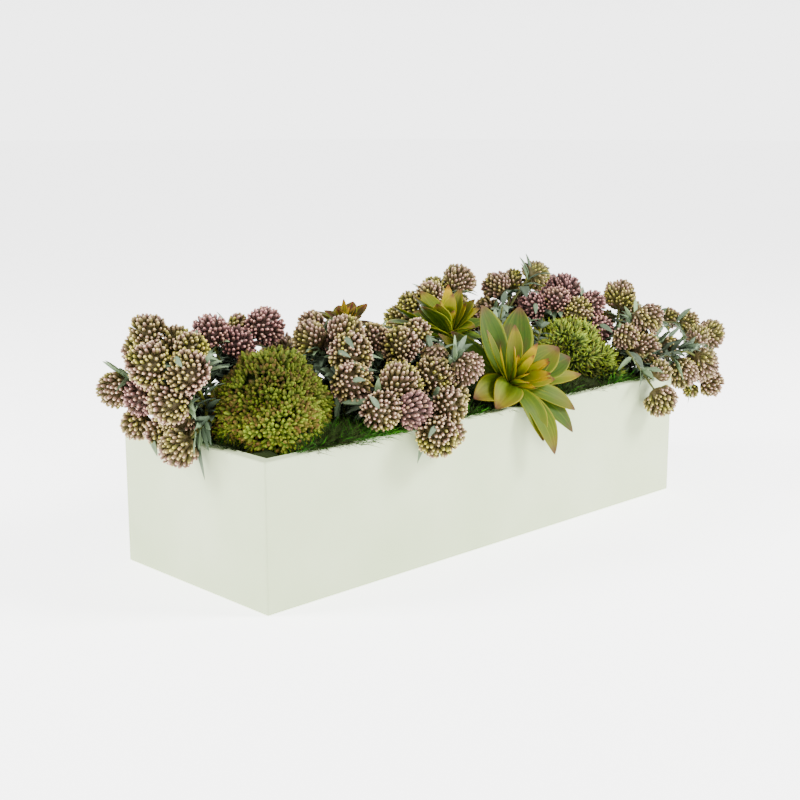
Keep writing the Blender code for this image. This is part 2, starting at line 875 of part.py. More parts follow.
def make_planter():
    """The box: four walls and a floor in one piece, its edges eased."""
    outer = box_mesh((-LENGTH / 2, -WIDTH / 2, 0), (LENGTH / 2, WIDTH / 2, HEIGHT))
    thing = add_object("planter", outer, "sage_paint")
    inner_low = (-LENGTH / 2 + WALL, -WIDTH / 2 + WALL, FLOOR)
    inner_high = (LENGTH / 2 - WALL, WIDTH / 2 - WALL, HEIGHT + 20)
    combine(thing, [box_mesh(inner_low, inner_high)], "DIFFERENCE")
    shape = bmesh.new()
    shape.from_mesh(thing.data)
    rim, out_x, out_y = HEIGHT * MM - 1e-5, (LENGTH / 2) * MM - 1e-5, (WIDTH / 2) * MM - 1e-5
    outside = {v for v in shape.verts if v.co.z > rim or abs(v.co.x) > out_x or abs(v.co.y) > out_y}
    edges = [edge for edge in shape.edges if outside.issuperset(edge.verts) and edge.calc_face_angle() > 0.5]
    bmesh.ops.bevel(shape, geom=edges, offset=EDGE_ROUND * MM, segments=2, profile=0.5, affect="EDGES")
    shape.to_mesh(thing.data)
    shape.free()


def make_foam_bed():
    """The block of foam that the stems are stuck into."""
    reach_x = LENGTH / 2 - WALL - GAP
    reach_y = WIDTH / 2 - WALL - GAP
    block = box_mesh((-reach_x, -reach_y, FLOOR + GAP), (reach_x, reach_y, FOAM_TOP))
    thing = add_object("foam_bed", block, "floral_foam")
    combine(thing, hole_cutters(), "DIFFERENCE")


def make_moss_bed(draw):
    """Sheet moss over the foam: a flat underside and a lumpy top that swells up from the rim to the middle."""
    reach_x = LENGTH / 2 - WALL - GAP
    reach_y = WIDTH / 2 - WALL - GAP
    across = round(2 * reach_x / MOSS_CELL)
    deep = round(2 * reach_y / MOSS_CELL)
    row = across + 1
    points, faces = [], []
    for j in range(deep + 1):
        for i in range(row):
            at_edge = i in (0, across) or j in (0, deep)
            lump = draw.uniform(0.7, 1.0) if at_edge else draw.uniform(0, 1)
            x = -reach_x + 2 * reach_x * i / across
            y = -reach_y + 2 * reach_y * j / deep
            rise = (1 - (y / reach_y) ** 2) * (1 - (x / reach_x) ** 4)
            points.append((x, y, MOSS_TOP + MOSS_LUMP * lump + MOSS_RISE * rise))
    for j in range(deep):
        for i in range(across):
            near, far = j * row + i, (j + 1) * row + i
            faces += [(near, near + 1, far + 1), (near, far + 1, far)]
    front = list(range(row))
    right = [j * row + across for j in range(deep + 1)]
    back = [deep * row + i for i in range(across, -1, -1)]
    left = [j * row for j in range(deep, -1, -1)]
    feet = len(points)
    for x, y in ((-1, -1), (1, -1), (1, 1), (-1, 1)):
        points.append((x * reach_x, y * reach_y, FOAM_TOP + GAP))
    for k, side in enumerate((front, right, back, left)):
        faces.append((*side, feet + (k + 1) % 4, feet + k))
    faces.append(tuple(range(feet, feet + 4)))
    thing = add_object("moss_bed", mesh_from(points, faces), "moss")
    cutters = hole_cutters()
    for cushion in CUSHIONS.values():
        cutters += foot_cutters(cushion)
    combine(thing, cutters, "DIFFERENCE")


def make_bunches(heads):
    """The flower heads, one body for each bunch, with room for every branch that comes in or passes through."""
    count = {}
    swollen = {}
    for name, spray in SPRAYS.items():
        own = [head for head in heads if head["spray"] == name]
        swollen[name] = branch_tubes(spray, own, GAP * 1.3)
    made = []
    for bunch in sorted({head["bunch"] for head in heads}):
        members = [head for head in heads if head["bunch"] == bunch]
        name = members[0]["spray"]
        draw = random.Random(500 + bunch)
        meshes = [head_mesh(h["place"], h["radius"], stalk_way(h), draw) for h in members]
        for group in touching_groups(meshes):
            count[name] = count.get(name, 0) + 1
            thing = fuse(f"{name}_flowers_{count[name]}", group, SPRAYS[name]["tone"])
            tree = tree_of(thing.data)
            cutters = []
            for tubes in swollen.values():
                cutters += [tube.copy() for tube in tubes if meets(tree, tube, members)]
            for rosette in ROSETTES.values():
                blades = [leaf_blade(rosette, leaf, GAP * 1.3) for leaf in rosette["leaves"]]
                cutters += [blade for blade in blades if tree.overlap(tree_of(blade))]
            for cutter in cutters:
                combine(thing, [cutter], "DIFFERENCE", "MANIFOLD")
            made.append(thing)
    return made


def meets(tree, tube, heads):
    """Whether a bar crosses the surface of the tree or has a corner well inside one of the heads."""
    if tree.overlap(tree_of(tube)):
        return True
    corners = np.array([vert.co[:] for vert in tube.vertices]) / MM
    return any((np.linalg.norm(corners - h["place"], axis=1) < h["radius"] * HEAD_CORE).any() for h in heads)


def small_leaf(head, draw, swell=0.0):
    """A narrow sage leaf that stands off the branch near a head, thicker all round by swell."""
    length = LEAF_LENGTH * draw.uniform(0.8, 1.3)
    share = draw.uniform(0.15, 0.8)
    corners = curve_points(head["start"], head["control"], head["place"], (0, 0.5, 1))
    near, far = (corners[0], corners[1]) if share < 0.5 else (corners[1], corners[2])
    base = Vector(near + (far - near) * (share * 2 % 1))
    ahead = Vector(far - near).normalized()
    around = Quaternion(ahead, draw.uniform(0, math.tau)) @ ahead.orthogonal().normalized()
    out = (around + ahead * draw.uniform(0.2, 1.0)).normalized()
    tip = base + out * (length + swell) + Vector((0, 0, -0.15 * length))
    control = (base + tip) / 2 + Vector((0, 0, length * 0.15))
    spine = curve_points(base, control, tip, (0, 0.5, 1))
    widths = [LEAF_WIDTH * share + swell * 2 for share in (0.5, 1.0)]
    side = out.cross(Vector((0, 0, 1)))
    upward = side.cross(out).normalized() if side.length > 0.15 else Vector((1, 0, 0))
    half = LEAF_THICKNESS / 2 + swell
    return spine, blade_mesh(spine, widths, upward, None, half * 2)


def is_outside_planter(spine):
    block = np.array([LENGTH / 2, WIDTH / 2, HEIGHT]) + 3
    return not np.any(np.all(np.abs(spine) < block, axis=1))


def make_stems(heads, standing):
    """The trunk, branches and small leaves of each spray. A leaf grows only where it meets nothing that stands."""
    trees = {thing.name: tree_of(thing.data) for thing in standing}
    tubes = {}
    for name, spray in SPRAYS.items():
        own = [head for head in heads if head["spray"] == name]
        tubes[name] = branch_tubes(spray, own)
        for k, tube in enumerate(tubes[name]):
            trees[f"{name} {k}"] = tree_of(tube)
    made = []
    for number, (name, spray) in enumerate(SPRAYS.items()):
        draw = random.Random(900 + number)
        leaves = []
        strangers = [tree for label, tree in trees.items() if not label.startswith(name + " ")]
        for head in [head for head in heads if head["spray"] == name]:
            if head["number"] % LEAFLESS_EVERY == LEAFLESS_EVERY - 1:
                continue
            for _ in range(LEAF_TRIES):
                state = draw.getstate()
                spine, swollen = small_leaf(head, draw, GAP)
                tree = tree_of(swollen)
                bpy.data.meshes.remove(swollen)
                if not is_outside_planter(spine) or any(tree.overlap(other) for other in strangers):
                    continue
                draw.setstate(state)
                leaves.append(small_leaf(head, draw)[1])
                break
        for k, leaf in enumerate(leaves):
            trees[f"{name} leaf {k}"] = tree_of(leaf)
        made.append(fuse(name + "_stems", tubes[name] + leaves, "sedum_stem"))
        print(name, len(leaves), "leaves")
    return made


def main():
    clear_scene()
    make_planter()
    make_foam_bed()
    make_moss_bed(random.Random(3))
    standing = []
    for number, (name, cushion) in enumerate(CUSHIONS.items()):
        draw = random.Random(20 + number)
        domes = [dome_mesh(dome, cushion, draw) for dome in cushion["domes"]]
        standing.append(fuse(name, domes, "stonecrop"))
    for name, rosette in ROSETTES.items():
        standing.append(fuse(name, rosette_meshes(rosette), "rosette_leaf"))
    solids = [(*dome[:3], dome[3] + 1.5) for cushion in CUSHIONS.values() for dome in cushion["domes"]]
    for rosette in ROSETTES.values():
        solids += leaf_balls(rosette)
    solids = np.array(solids, float)
    heads, links = all_heads()
    settle(heads, links, solids)
    grow_branches(heads, solids)
    for head in heads:
        if head["cost"] > 5:
            print("crowded branch", head["spray"], np.round(head["place"]), round(head["cost"]))
    standing += make_bunches(heads)
    make_stems(heads, standing)


main()
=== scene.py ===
import math

import bpy
import numpy as np
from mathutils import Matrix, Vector


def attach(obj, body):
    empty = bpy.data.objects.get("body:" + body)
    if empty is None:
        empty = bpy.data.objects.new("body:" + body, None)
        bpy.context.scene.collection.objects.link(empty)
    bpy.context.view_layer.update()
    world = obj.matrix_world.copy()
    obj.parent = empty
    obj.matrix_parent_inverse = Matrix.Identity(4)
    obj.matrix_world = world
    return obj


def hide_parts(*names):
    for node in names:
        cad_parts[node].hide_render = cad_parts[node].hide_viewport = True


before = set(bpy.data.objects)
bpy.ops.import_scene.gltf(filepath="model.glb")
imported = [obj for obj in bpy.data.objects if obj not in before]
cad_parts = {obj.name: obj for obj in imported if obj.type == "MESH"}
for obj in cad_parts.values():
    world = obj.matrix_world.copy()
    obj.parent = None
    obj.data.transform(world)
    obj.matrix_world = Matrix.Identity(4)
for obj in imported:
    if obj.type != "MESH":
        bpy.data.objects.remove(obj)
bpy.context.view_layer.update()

mm = 0.001
print("frame loaded:", len(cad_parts), "solids")

# Sizes here are in millimetres, in the solids' own frame, and the plan below places every plant
# exactly where its solid stands.
planterPlan = {"length": 610.0, "width": 220.0, "height": 140.0, "wall": 12.0, "foamTop": 118.0}
# Half the length, half the width and the height of the filled planter.
filledBlock = np.array([planterPlan["length"] / 2, planterPlan["width"] / 2, planterPlan["height"]])

# Each spray's slot, where its trunk stands and forks, and each head as x, y, z, radius and tone, from
# lime at 0 over dusty pink to mauve at 1.
sprayPlan = {
    "sedum_left_front": {
        "slot": "pink_buds", "root": (-284, -2), "fork": (-290, -2, 178),
        "heads": [
            (-317, -8, 139, 18, 0.48), (-316, 4, 155, 18, 0.5), (-318, 30, 146, 14, 0.5),
            (-329, -6, 179, 20, 0.55), (-315, -20, 208, 20, 0.62), (-344, 10, 216, 20, 0.42),
        ],
    },
    "sedum_left_end": {
        "slot": "pink_buds", "root": (-274, 46), "fork": (-288, 48, 196),
        "heads": [
            (-319, 60, 145, 16, 0.35), (-335, 40, 182, 17, 0.8), (-336, 75, 182, 17, 0.45),
            (-313, 50, 240, 17, 0.38), (-296, 35, 229, 16, 0.34), (-290, 15, 223, 17, 0.36),
            (-300, 84, 214, 17, 0.4),
        ],
    },
    "sedum_left_rear": {
        "slot": "mauve_buds", "root": (-212, 66), "fork": (-212, 66, 190),
        "heads": [
            (-242, 50, 234, 18, 0.85), (-220, 40, 217, 18, 0.9), (-174, 50, 229, 20, 0.85),
            (-181, 80, 228, 13, 0.4), (-226, 92, 212, 18, 0.6), (-262, 106, 184, 18, 0.55),
            (-206, 122, 170, 18, 0.5),
        ],
    },
    "sedum_middle_left": {
        "slot": "pink_buds", "root": (-128, 8), "fork": (-130, 2, 186),
        "heads": [
            (-170, -10, 221, 18, 0.5), (-113, 50, 227, 14, 0.6), (-117, 20, 207, 14, 0.65),
            (-96, 10, 226, 18, 0.5), (-143, -45, 209, 21, 0.55), (-168, -65, 176, 20, 0.6),
            (-140, 76, 202, 17, 0.5),
        ],
    },
    "sedum_middle_front": {
        "slot": "pink_buds", "root": (-128, -72), "fork": (-128, -84, 168),
        "heads": [
            (-129, -80, 190, 21, 0.4), (-112, -92, 154, 18, 0.85), (-170, -108, 156, 19, 0.5),
            (-142, -133, 129, 20, 0.42), (-101, -126, 134, 14, 0.5), (-85, -116, 152, 18, 0.48),
        ],
    },
    "sedum_middle_right": {
        "slot": "pink_buds", "root": (-42, -58), "fork": (-42, -62, 162),
        "heads": [
            (-69, -75, 182, 20, 0.38), (-19, -55, 180, 18, 0.42), (-21, -95, 185, 17, 0.58),
            (-48, -103, 161, 16, 0.5), (-33, -60, 207, 14, 0.5), (-6, -30, 186, 16, 0.48),
        ],
    },
    "sedum_middle_back": {
        "slot": "pink_buds", "root": (-64, -6), "fork": (-60, -8, 186),
        "heads": [
            (-88, -15, 217, 15, 0.58), (-49, 10, 202, 14, 0.55), (-55, -30, 221, 15, 0.45),
            (-80, -55, 211, 19, 0.5), (-100, 92, 186, 18, 0.5), (-62, 116, 170, 18, 0.45),
            (-18, 104, 188, 18, 0.55),
        ],
    },
    "sedum_back_left": {
        "slot": "lime_buds", "root": (78, 68), "fork": (78, 66, 212),
        "heads": [
            (20, 50, 237, 14, 0.2), (89, 80, 247, 15, 0.15), (68, 50, 241, 16, 0.5),
            (134, 70, 253, 18, 0.55), (175, 90, 240, 13, 0.55), (52, 96, 208, 18, 0.3),
            (92, 114, 186, 18, 0.3),
        ],
    },
    "sedum_back_middle": {
        "slot": "pink_buds", "root": (184, 50), "fork": (186, 48, 206),
        "heads": [
            (177, 65, 243, 17, 0.6), (161, 50, 220, 15, 0.55), (221, 55, 242, 15, 0.35),
            (232, 40, 243, 17, 0.3), (160, 104, 204, 18, 0.5), (200, 116, 186, 18, 0.45),
        ],
    },
    "sedum_back_right": {
        "slot": "mauve_buds", "root": (250, 26), "fork": (252, 20, 194),
        "heads": [
            (275, 35, 234, 21, 0.9), (278, 60, 232, 16, 0.85), (194, 10, 223, 18, 0.9),
            (236, 10, 225, 17, 0.85), (228, -30, 207, 19, 0.36), (292, 0, 214, 16, 0.85),
            (271, -30, 182, 18, 0.85), (250, 96, 200, 18, 0.7),
        ],
    },
    "sedum_right_front": {
        "slot": "pink_buds", "root": (274, -66), "fork": (279, -66, 160),
        "heads": [
            (265, -60, 178, 16, 0.55), (317, -60, 198, 20, 0.5), (296, -80, 162, 21, 0.5),
            (254, -132, 118, 19, 0.46),
        ],
    },
    "sedum_right_end": {
        "slot": "pink_buds", "root": (284, -16), "fork": (306, -28, 188),
        "heads": [
            (302, -35, 228, 20, 0.4), (341, -20, 203, 15, 0.42), (393, -40, 190, 13, 0.4),
            (384, -80, 190, 15, 0.38), (408, -100, 174, 18, 0.5), (330, -90, 166, 13, 0.5),
            (318, 44, 192, 18, 0.55), (334, 82, 170, 17, 0.5),
        ],
    },
    "sedum_right_low": {
        "slot": "pink_buds", "root": (286, -88), "fork": (322, -98, 160),
        "heads": [
            (314, -110, 139, 19, 0.5), (365, -110, 144, 21, 0.48), (383, -115, 118, 16, 0.4),
        ],
    },
}

# How the heads press together, as in the solids.
headPlan = {
    "fullness": 1.12,  # of each drawn radius
    "gap": 0.8,  # between bunches
    "reach": 1.12,  # heads nearer than this, in radii, are of one bunch
    "close": 0.80,  # and press together to this
    "depthShare": 0.3,  # how much of a distance front to back counts
    "stagger": (0.68, 0.70, -0.20),  # front to back
    "sideways": 0.3,  # share of a push that isn't front to back
    "branchRadius": 1.6,
    "stemStraight": 153.0,  # heights of a trunk's first bend and of its foot
    "stemFoot": 62.0,
    "showSide": (-0.69, -0.68, 0.25),  # the way the arrangement faces
}

cushionPlan = {  # domes as x, y, z, radius
    "stonecrop_cushion_left": [(-227, -19, 163, 58), (-238, -51, 150, 42), (-178, 2, 160, 30)],
    "stonecrop_cushion_right": [(206, -26, 160, 44), (230, -50, 150, 34)],
}

rosettePlan = {  # leaves as tip x, y, z, width, bow, heart: 0 is an outer leaf, 1 the coloured heart
    # Light is painted light: a factor that brightens each rosette's leaves as a whole, most on the middle one.
    "rosette_front": {
        "root": (42, -72), "crown": (42, -86, 158), "axis": (-0.22, -0.72, 0.66), "ruddy": 0.0,
        "light": 1.05, "heartShare": 0.9, "wide": 1.08, "way": (0.25, -0.76, 0.6), "reach": 50.0,
        "skirt": 40.0,
        "leaves": [
            (3, -80, 246, 36, -8, 0.0), (75, -70, 237, 36, -4, 0.0), (38, -95, 224, 21, 2, 0.15),
            (-20, -108, 226, 17, -4, 0.1), (-10, -118, 211, 15, -5, 0.6), (6, -122, 208, 18, 5, 0.6),
            (48, -118, 206, 17, 5, 0.7), (62, -124, 186, 16, 3, 1.0), (54, -132, 175, 19, 6, 0.7),
            (16, -134, 170, 14, 6, 0.6), (110, -96, 192, 34, 4, 0.1), (130, -96, 179, 32, 6, 0.0),
            (143, -102, 159, 19, 4, 0.2), (79, -117, 164, 20, 6, 0.3), (102, -127, 129, 23, 16, 0.1),
            (95, -130, 106, 23, 22, 0.0), (46, -130, 104, 25, 24, 0.1), (58, -136, 89, 26, 28, 0.1),
            (-16, -55, 218, 25, -4, 0.0), (-30, -50, 217, 18, -6, 0.1), (-27, -98, 155, 33, 14, 0.15),
            (-10, -113, 144, 33, 22, 0.2),
        ],
    },
    "rosette_middle": {
        "root": (44, 6), "crown": (40, 2, 200), "axis": (-0.25, -0.15, 0.95), "ruddy": 0.0, "light": 1.5,
        "heartShare": 0.3, "wide": 1.55, "way": (0.05, 0.0, 1.0), "reach": 46.0, "skirt": 44.0,
        "leaves": [
            (-52, -4, 244, 17, -3, 0.0), (-12, 4, 250, 27, 2, 0.0), (-14, -12, 240, 20, 3, 0.0),
            (-66, -14, 228, 22, 4, 0.0), (44, 6, 257, 13, 3, 0.7), (60, 2, 251, 13, 3, 0.1),
            (70, -10, 240, 14, 4, 0.1), (62, -24, 232, 16, 4, 0.2), (-4, -24, 243, 13, 2, 0.1),
            (44, -34, 214, 17, 8, 0.1), (32, 36, 248, 16, 5, 0.1), (80, 22, 228, 16, 6, 0.1),
        ],
    },
    "rosette_back": {
        "root": (-70, 52), "crown": (-66, 52, 212), "axis": (-0.1, -0.1, 0.98), "ruddy": 1.0,
        "light": 1.15, "heartShare": 0.9, "wide": 1.1, "way": (0.1, -0.1, 1.0), "reach": 27.0,
        "skirt": 32.0,
        "leaves": [
            (-30, 56, 238, 18, 4, 0.2), (-82, 46, 238, 15, 3, 0.2), (-102, 62, 236, 14, 5, 0.0),
            (-56, 44, 240, 12, 3, 0.8), (-48, 80, 234, 14, 5, 0.0), (-84, 82, 232, 14, 5, 0.0),
            (-62, 58, 246, 10, 2, 0.9),
        ],
    },
}


# Vectors over their own length.
def unit(vectors):
    return vectors / (np.linalg.norm(vectors, axis=-1, keepdims=True) + 1e-9)


# Two directions square to the way ahead: across = up x ahead, and lift = ahead x across.
def frameAlong(ahead, up):
    across = unit(np.cross(up, ahead))
    return across, np.cross(ahead, across)


# A direction that is never along the given one: straight up, or sideways for one that runs upwards.
def anyUp(ahead):
    return np.where(np.abs(ahead[..., 2:]) < 0.9, (0.0, 0.0, 1.0), (1.0, 0.0, 0.0))


# Places on curves: start (1-t)^2 + control 2t(1-t) + end t^2.
def bendCurve(start, control, end, shares):
    t = np.asarray(shares, float)[:, None]
    start, control, end = (np.asarray(place, float)[..., None, :] for place in (start, control, end))
    return start * (1 - t) ** 2 + control * (2 * t * (1 - t)) + end * t**2


# One place on each curve by the same formula, and the way that the curve runs there.
def onCurve(start, control, end, t):
    place = start * (1 - t) ** 2 + control * 2 * t * (1 - t) + end * t**2
    return place, unit((control - start) * (1 - t) + (end - control) * t)


# Turns that never line up: each step goes on by the golden angle.
def goldenTurn(step):
    return step * math.pi * (3 - math.sqrt(5))


# Points spread evenly over a unit ball: heights in equal steps, each turned on by the golden angle.
def goldenBall(count, turn=0.0):
    step = np.arange(count) + 0.5
    height = 1 - 2 * step / count
    ring = np.sqrt(1 - height**2)
    angle = goldenTurn(step) + turn
    return np.stack([ring * np.cos(angle), ring * np.sin(angle), height], axis=1)


# Corners of a regular outline of radius 1, as cosine and sine.
def circleOf(sides):
    turn = np.arange(sides) * math.tau / sides
    return np.stack([np.cos(turn), np.sin(turn)], axis=1)


# Closed tubes: a ring point = centre + across * x + lift * y of the outline, and one point closes each end.
def sweepShapes(centres, across, lift, outline, ends, **marks):
    count, rings = centres.shape[:2]
    sides = outline.shape[-2]
    ring = centres[:, :, None] + across[:, :, None] * outline[..., :1] + lift[:, :, None] * outline[..., 1:]
    points = np.concatenate([ends[:, :1], ring.reshape(count, rings * sides, 3), ends[:, 1:]], axis=1)
    near = np.arange(sides)
    far = (near + 1) % sides
    last = 1 + (rings - 1) * sides
    caps = np.concatenate([
        np.stack([0 * near, 1 + far, 1 + near], axis=1),
        np.stack([last + near, last + far, 0 * near + last + sides], axis=1),
    ])
    step = 1 + (np.arange(rings - 1) * sides)[:, None]
    walls = np.stack([step + near, step + far, step + far + sides, step + near + sides], axis=2).reshape(-1, 4)
    shift = (np.arange(count) * (rings * sides + 2))[:, None, None]
    shape = {
        "points": points.reshape(-1, 3),
        "tris": (caps[None] + shift).reshape(-1, 3),
        "quads": (walls[None] + shift).reshape(-1, 4),
        "marks": {},
    }
    for name, values in marks.items():
        values = np.broadcast_to(np.asarray(values, float), (count, rings + 2))
        middle = np.repeat(values[:, 1:-1], sides, axis=1)
        shape["marks"][name] = np.concatenate([values[:, :1], middle, values[:, -1:]], axis=1).ravel()
    return shape


# Several shapes as one: points and marks end to end, faces counted on.
def joinShapes(shapes):
    shifts = np.cumsum([0] + [len(shape["points"]) for shape in shapes])
    names = set().union(*(shape["marks"] for shape in shapes))
    return {
        "points": np.concatenate([shape["points"] for shape in shapes]),
        "tris": np.concatenate([shape["tris"] + shift for shape, shift in zip(shapes, shifts)]),
        "quads": np.concatenate([shape["quads"] + shift for shape, shift in zip(shapes, shifts)]),
        "marks": {
            name: np.concatenate([
                shape["marks"].get(name, np.zeros(len(shape["points"]))) for shape in shapes
            ])
            for name in names
        },
    }


# Puts a shape's arrays, in mm, into a smooth mesh, with each mark as an attribute.
def putMesh(name, shape):
    mesh = bpy.data.meshes.new(name)
    corners = np.concatenate([shape["tris"].ravel(), shape["quads"].ravel()])
    starts = np.concatenate([
        np.arange(len(shape["tris"])) * 3,
        len(shape["tris"]) * 3 + np.arange(len(shape["quads"])) * 4,
    ])
    mesh.vertices.add(len(shape["points"]))
    mesh.vertices.foreach_set("co", (shape["points"] * mm).astype(np.float32).ravel())
    mesh.loops.add(len(corners))
    mesh.loops.foreach_set("vertex_index", corners.astype(np.int32))
    mesh.polygons.add(len(starts))
    mesh.polygons.foreach_set("loop_start", starts.astype(np.int32))
    for mark, values in shape["marks"].items():
        layer = mesh.attributes.new(mark, "FLOAT", "POINT")
        layer.data.foreach_set("value", values.astype(np.float32))
    mesh.update(calc_edges=True)
    mesh.shade_smooth()
    return mesh


triangleCount = {}


# Adds a finished piece, which rides on the root and takes the place of its solids.
def addPiece(name, shape, material, slot, *nodes):
    piece = bpy.data.objects.new(name, putMesh(name, shape))
    bpy.context.scene.collection.objects.link(piece)
    piece.data.materials.append(material)
    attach(piece, "root")
    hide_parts(*nodes)
    triangleCount[name] = len(shape["tris"]) + 2 * len(shape["quads"])


# An sRGB hex colour as linear light: c / 12.92 when dark, and ((c + 0.055) / 1.055)^2.4 above that.
def linearColour(text):
    parts = [int(text[i:i + 2], 16) / 255 for i in (1, 3, 5)]
    return tuple(c / 12.92 if c <= 0.04045 else ((c + 0.055) / 1.055) ** 2.4 for c in parts) + (1.0,)


# One node with its settings, its inputs as links, numbers or hex colours, and a ramp's stops as share and
# colour. It hands back the output asked for.
def addNode(owner, kind, inputs=None, stops=(), output=0, **settings):
    node = owner.node_tree.nodes.new("ShaderNode" + kind)
    for key, value in settings.items():
        setattr(node, key, value)
    for key, value in (inputs or {}).items():
        if isinstance(value, bpy.types.NodeSocket):
            owner.node_tree.links.new(value, node.inputs[key])
        else:
            node.inputs[key].default_value = linearColour(value) if isinstance(value, str) else value
    if stops:
        ramp = node.color_ramp.elements
        while len(ramp) < len(stops):
            ramp.new(0.5)
        for element, (share, colour) in zip(ramp, stops):
            element.position = share
            element.color = linearColour(colour)
    return node.outputs[output]


# An empty material with fixed values on its shader, the object's own places in metres, and the marks of
# its mesh.
def startMaterial(name, marks=(), **fixed):
    material = bpy.data.materials.new(name)
    material.use_nodes = True
    shader = material.node_tree.nodes["Principled BSDF"]
    for key, value in fixed.items():
        shader.inputs[key.replace("_", " ")].default_value = value
    places = addNode(material, "TexCoord", output="Object")
    given = [addNode(material, "Attribute", output="Fac", attribute_name=mark) for mark in marks]
    return material, places, *given


# Where a value goes from one level to another, the second colour takes over from the first by a share.
def blendOver(material, colour, other, value, levels, shares=(0.0, 1.0)):
    share = addNode(material, "MapRange", {0: value, 1: levels[0], 2: levels[1], 3: shares[0], 4: shares[1]})
    return addNode(material, "Mix", {0: share, 6: colour, 7: other}, output=2, data_type="RGBA")


# Where a value goes from one level to another, the colour is lit by one factor to another.
def lighten(material, colour, value, levels, factors):
    light = addNode(material, "MapRange", {0: value, 1: levels[0], 2: levels[1], 3: factors[0], 4: factors[1]})
    return addNode(material, "HueSaturation", {"Value": light, "Color": colour})


# The colour goes to the shader, with a pattern that raises the surface by a height in metres.
def finishMaterial(material, colour, pattern=None, strength=0.0, height=0.0):
    shader = material.node_tree.nodes["Principled BSDF"]
    material.node_tree.links.new(colour, shader.inputs["Base Color"])
    if pattern:
        bump = addNode(material, "Bump", {"Height": pattern, "Strength": strength, "Distance": height})
        material.node_tree.links.new(bump, shader.inputs["Normal"])
    return material


# How far apart two heads are, of their radii together: what lies front to back counts for a share only.
def stretchOf(head, other):
    line = head["place"] - other["place"]
    stagger = unit(np.array(headPlan["stagger"]))
    along = line.dot(stagger)
    across = np.linalg.norm(line - stagger * along)
    return math.hypot(across, along * headPlan["depthShare"]) / (head["radius"] + other["radius"])


# Where each head sits: the plan's places, grouped into bunches by their shortest links.
def listHeads():
    heads, links = [], []
    for name, spray in sprayPlan.items():
        first = len(heads)
        for number, row in enumerate(spray["heads"]):
            heads.append({
                "place": np.array(row[:3], float),
                "radius": row[3] * headPlan["fullness"],
                "tone": row[4],
                "spray": name,
                "number": number,
                "bunch": len(heads),
            })
        joined = [first]
        waiting = list(range(first + 1, len(heads)))
        while waiting:
            stretch, i, j = min((stretchOf(heads[i], heads[j]), i, j) for i in joined for j in waiting)
            joined.append(j)
            waiting.remove(j)
            if stretch < headPlan["reach"]:
                links.append((i, j))
                old, new = heads[j]["bunch"], heads[i]["bunch"]
                for head in heads:
                    if head["bunch"] == old:
                        head["bunch"] = new
    return heads, links


# Heads of one bunch press together and all others stand clear of each other, of the solid balls and of
# the filled planter: each step moves a head by part of what is missing, mostly front to back.
def settleHeads(heads, links, solids):
    places = np.array([head["place"] for head in heads])
    radii = np.array([head["radius"] for head in heads])
    bunches = np.array([head["bunch"] for head in heads])
    close, gap, sideways = headPlan["close"], headPlan["gap"], headPlan["sideways"]
    reach = radii[:, None] + radii[None, :]
    together = bunches[:, None] == bunches[None, :]
    least = np.where(together, reach * (close - 0.05), reach + gap)
    linked = np.zeros(reach.shape, bool)
    for i, j in links:
        linked[i, j] = linked[j, i] = True
    stagger = unit(np.array(headPlan["stagger"]))
    low = filledBlock * (-1, -1, 0)
    for _ in range(400):
        line = places[:, None] - places[None, :]
        apart = np.linalg.norm(line, axis=2) + np.eye(len(heads))
        short = np.clip(least - apart, 0, None)
        slack = np.where(linked, np.clip(apart - reach * close, 0, None), 0)
        push = (short - slack) / apart
        np.fill_diagonal(push, 0)
        places += 0.3 * sideways * (line * push[:, :, None]).sum(axis=1)
        along = line @ stagger
        across = apart**2 - along**2
        wider = np.clip(np.sqrt(np.clip(least**2 - across, 0, None)) - np.abs(along), 0, None)
        closer = np.abs(along) - np.sqrt(np.clip((reach * close) ** 2 - across, 0, None))
        closer = np.where(linked, np.clip(closer, 0, None), 0)
        ahead = np.where(along > 0, 1, -1) * (wider - closer)
        np.fill_diagonal(ahead, 0)
        places += 0.3 * (1 - sideways) * ahead.sum(axis=1)[:, None] * stagger
        line = places[:, None] - solids[None, :, :3]
        apart = np.linalg.norm(line, axis=2)
        short = np.clip(radii[:, None] + solids[None, :, 3] + gap - apart, 0, None)
        places += 0.6 * (line * (short / apart)[:, :, None]).sum(axis=1)
        line = places - np.clip(places, low, filledBlock)
        apart = np.linalg.norm(line, axis=1) + 0.001
        short = np.clip(radii + gap - apart, 0, None)
        places += line * (short / apart)[:, None]
    for head, place in zip(heads, places):
        head["place"] = place


# The place that a rosette leaf's middle line bows towards, and the way its face looks.
def leafControl(rosette, leaf):
    crown, tip = np.array(rosette["crown"], float), np.array(leaf[:3], float)
    chord = unit(tip - crown)
    axis = np.array(rosette["axis"], float)
    bow = axis - chord * axis.dot(chord)
    length = np.linalg.norm(bow)
    bow = bow / length if length > 0.1 else np.zeros(3)
    return (crown + tip) / 2 + bow * leaf[4], bow


# How a leaf widens from its foot: from a third, a quarter sine up to 0.6 of its length.
def leafRise(share):
    return 0.32 + 0.68 * np.sin(np.clip(share, 0, 0.6) / 0.6 * math.pi / 2)


# A leaf's width as a share of its full width: the rise, then a round end.
def leafWidth(share):
    fall = np.clip(1 - (np.clip(share - 0.6, 0, 0.4) / 0.4) ** 2, 0, 1)
    return leafRise(share) * np.sqrt(fall)


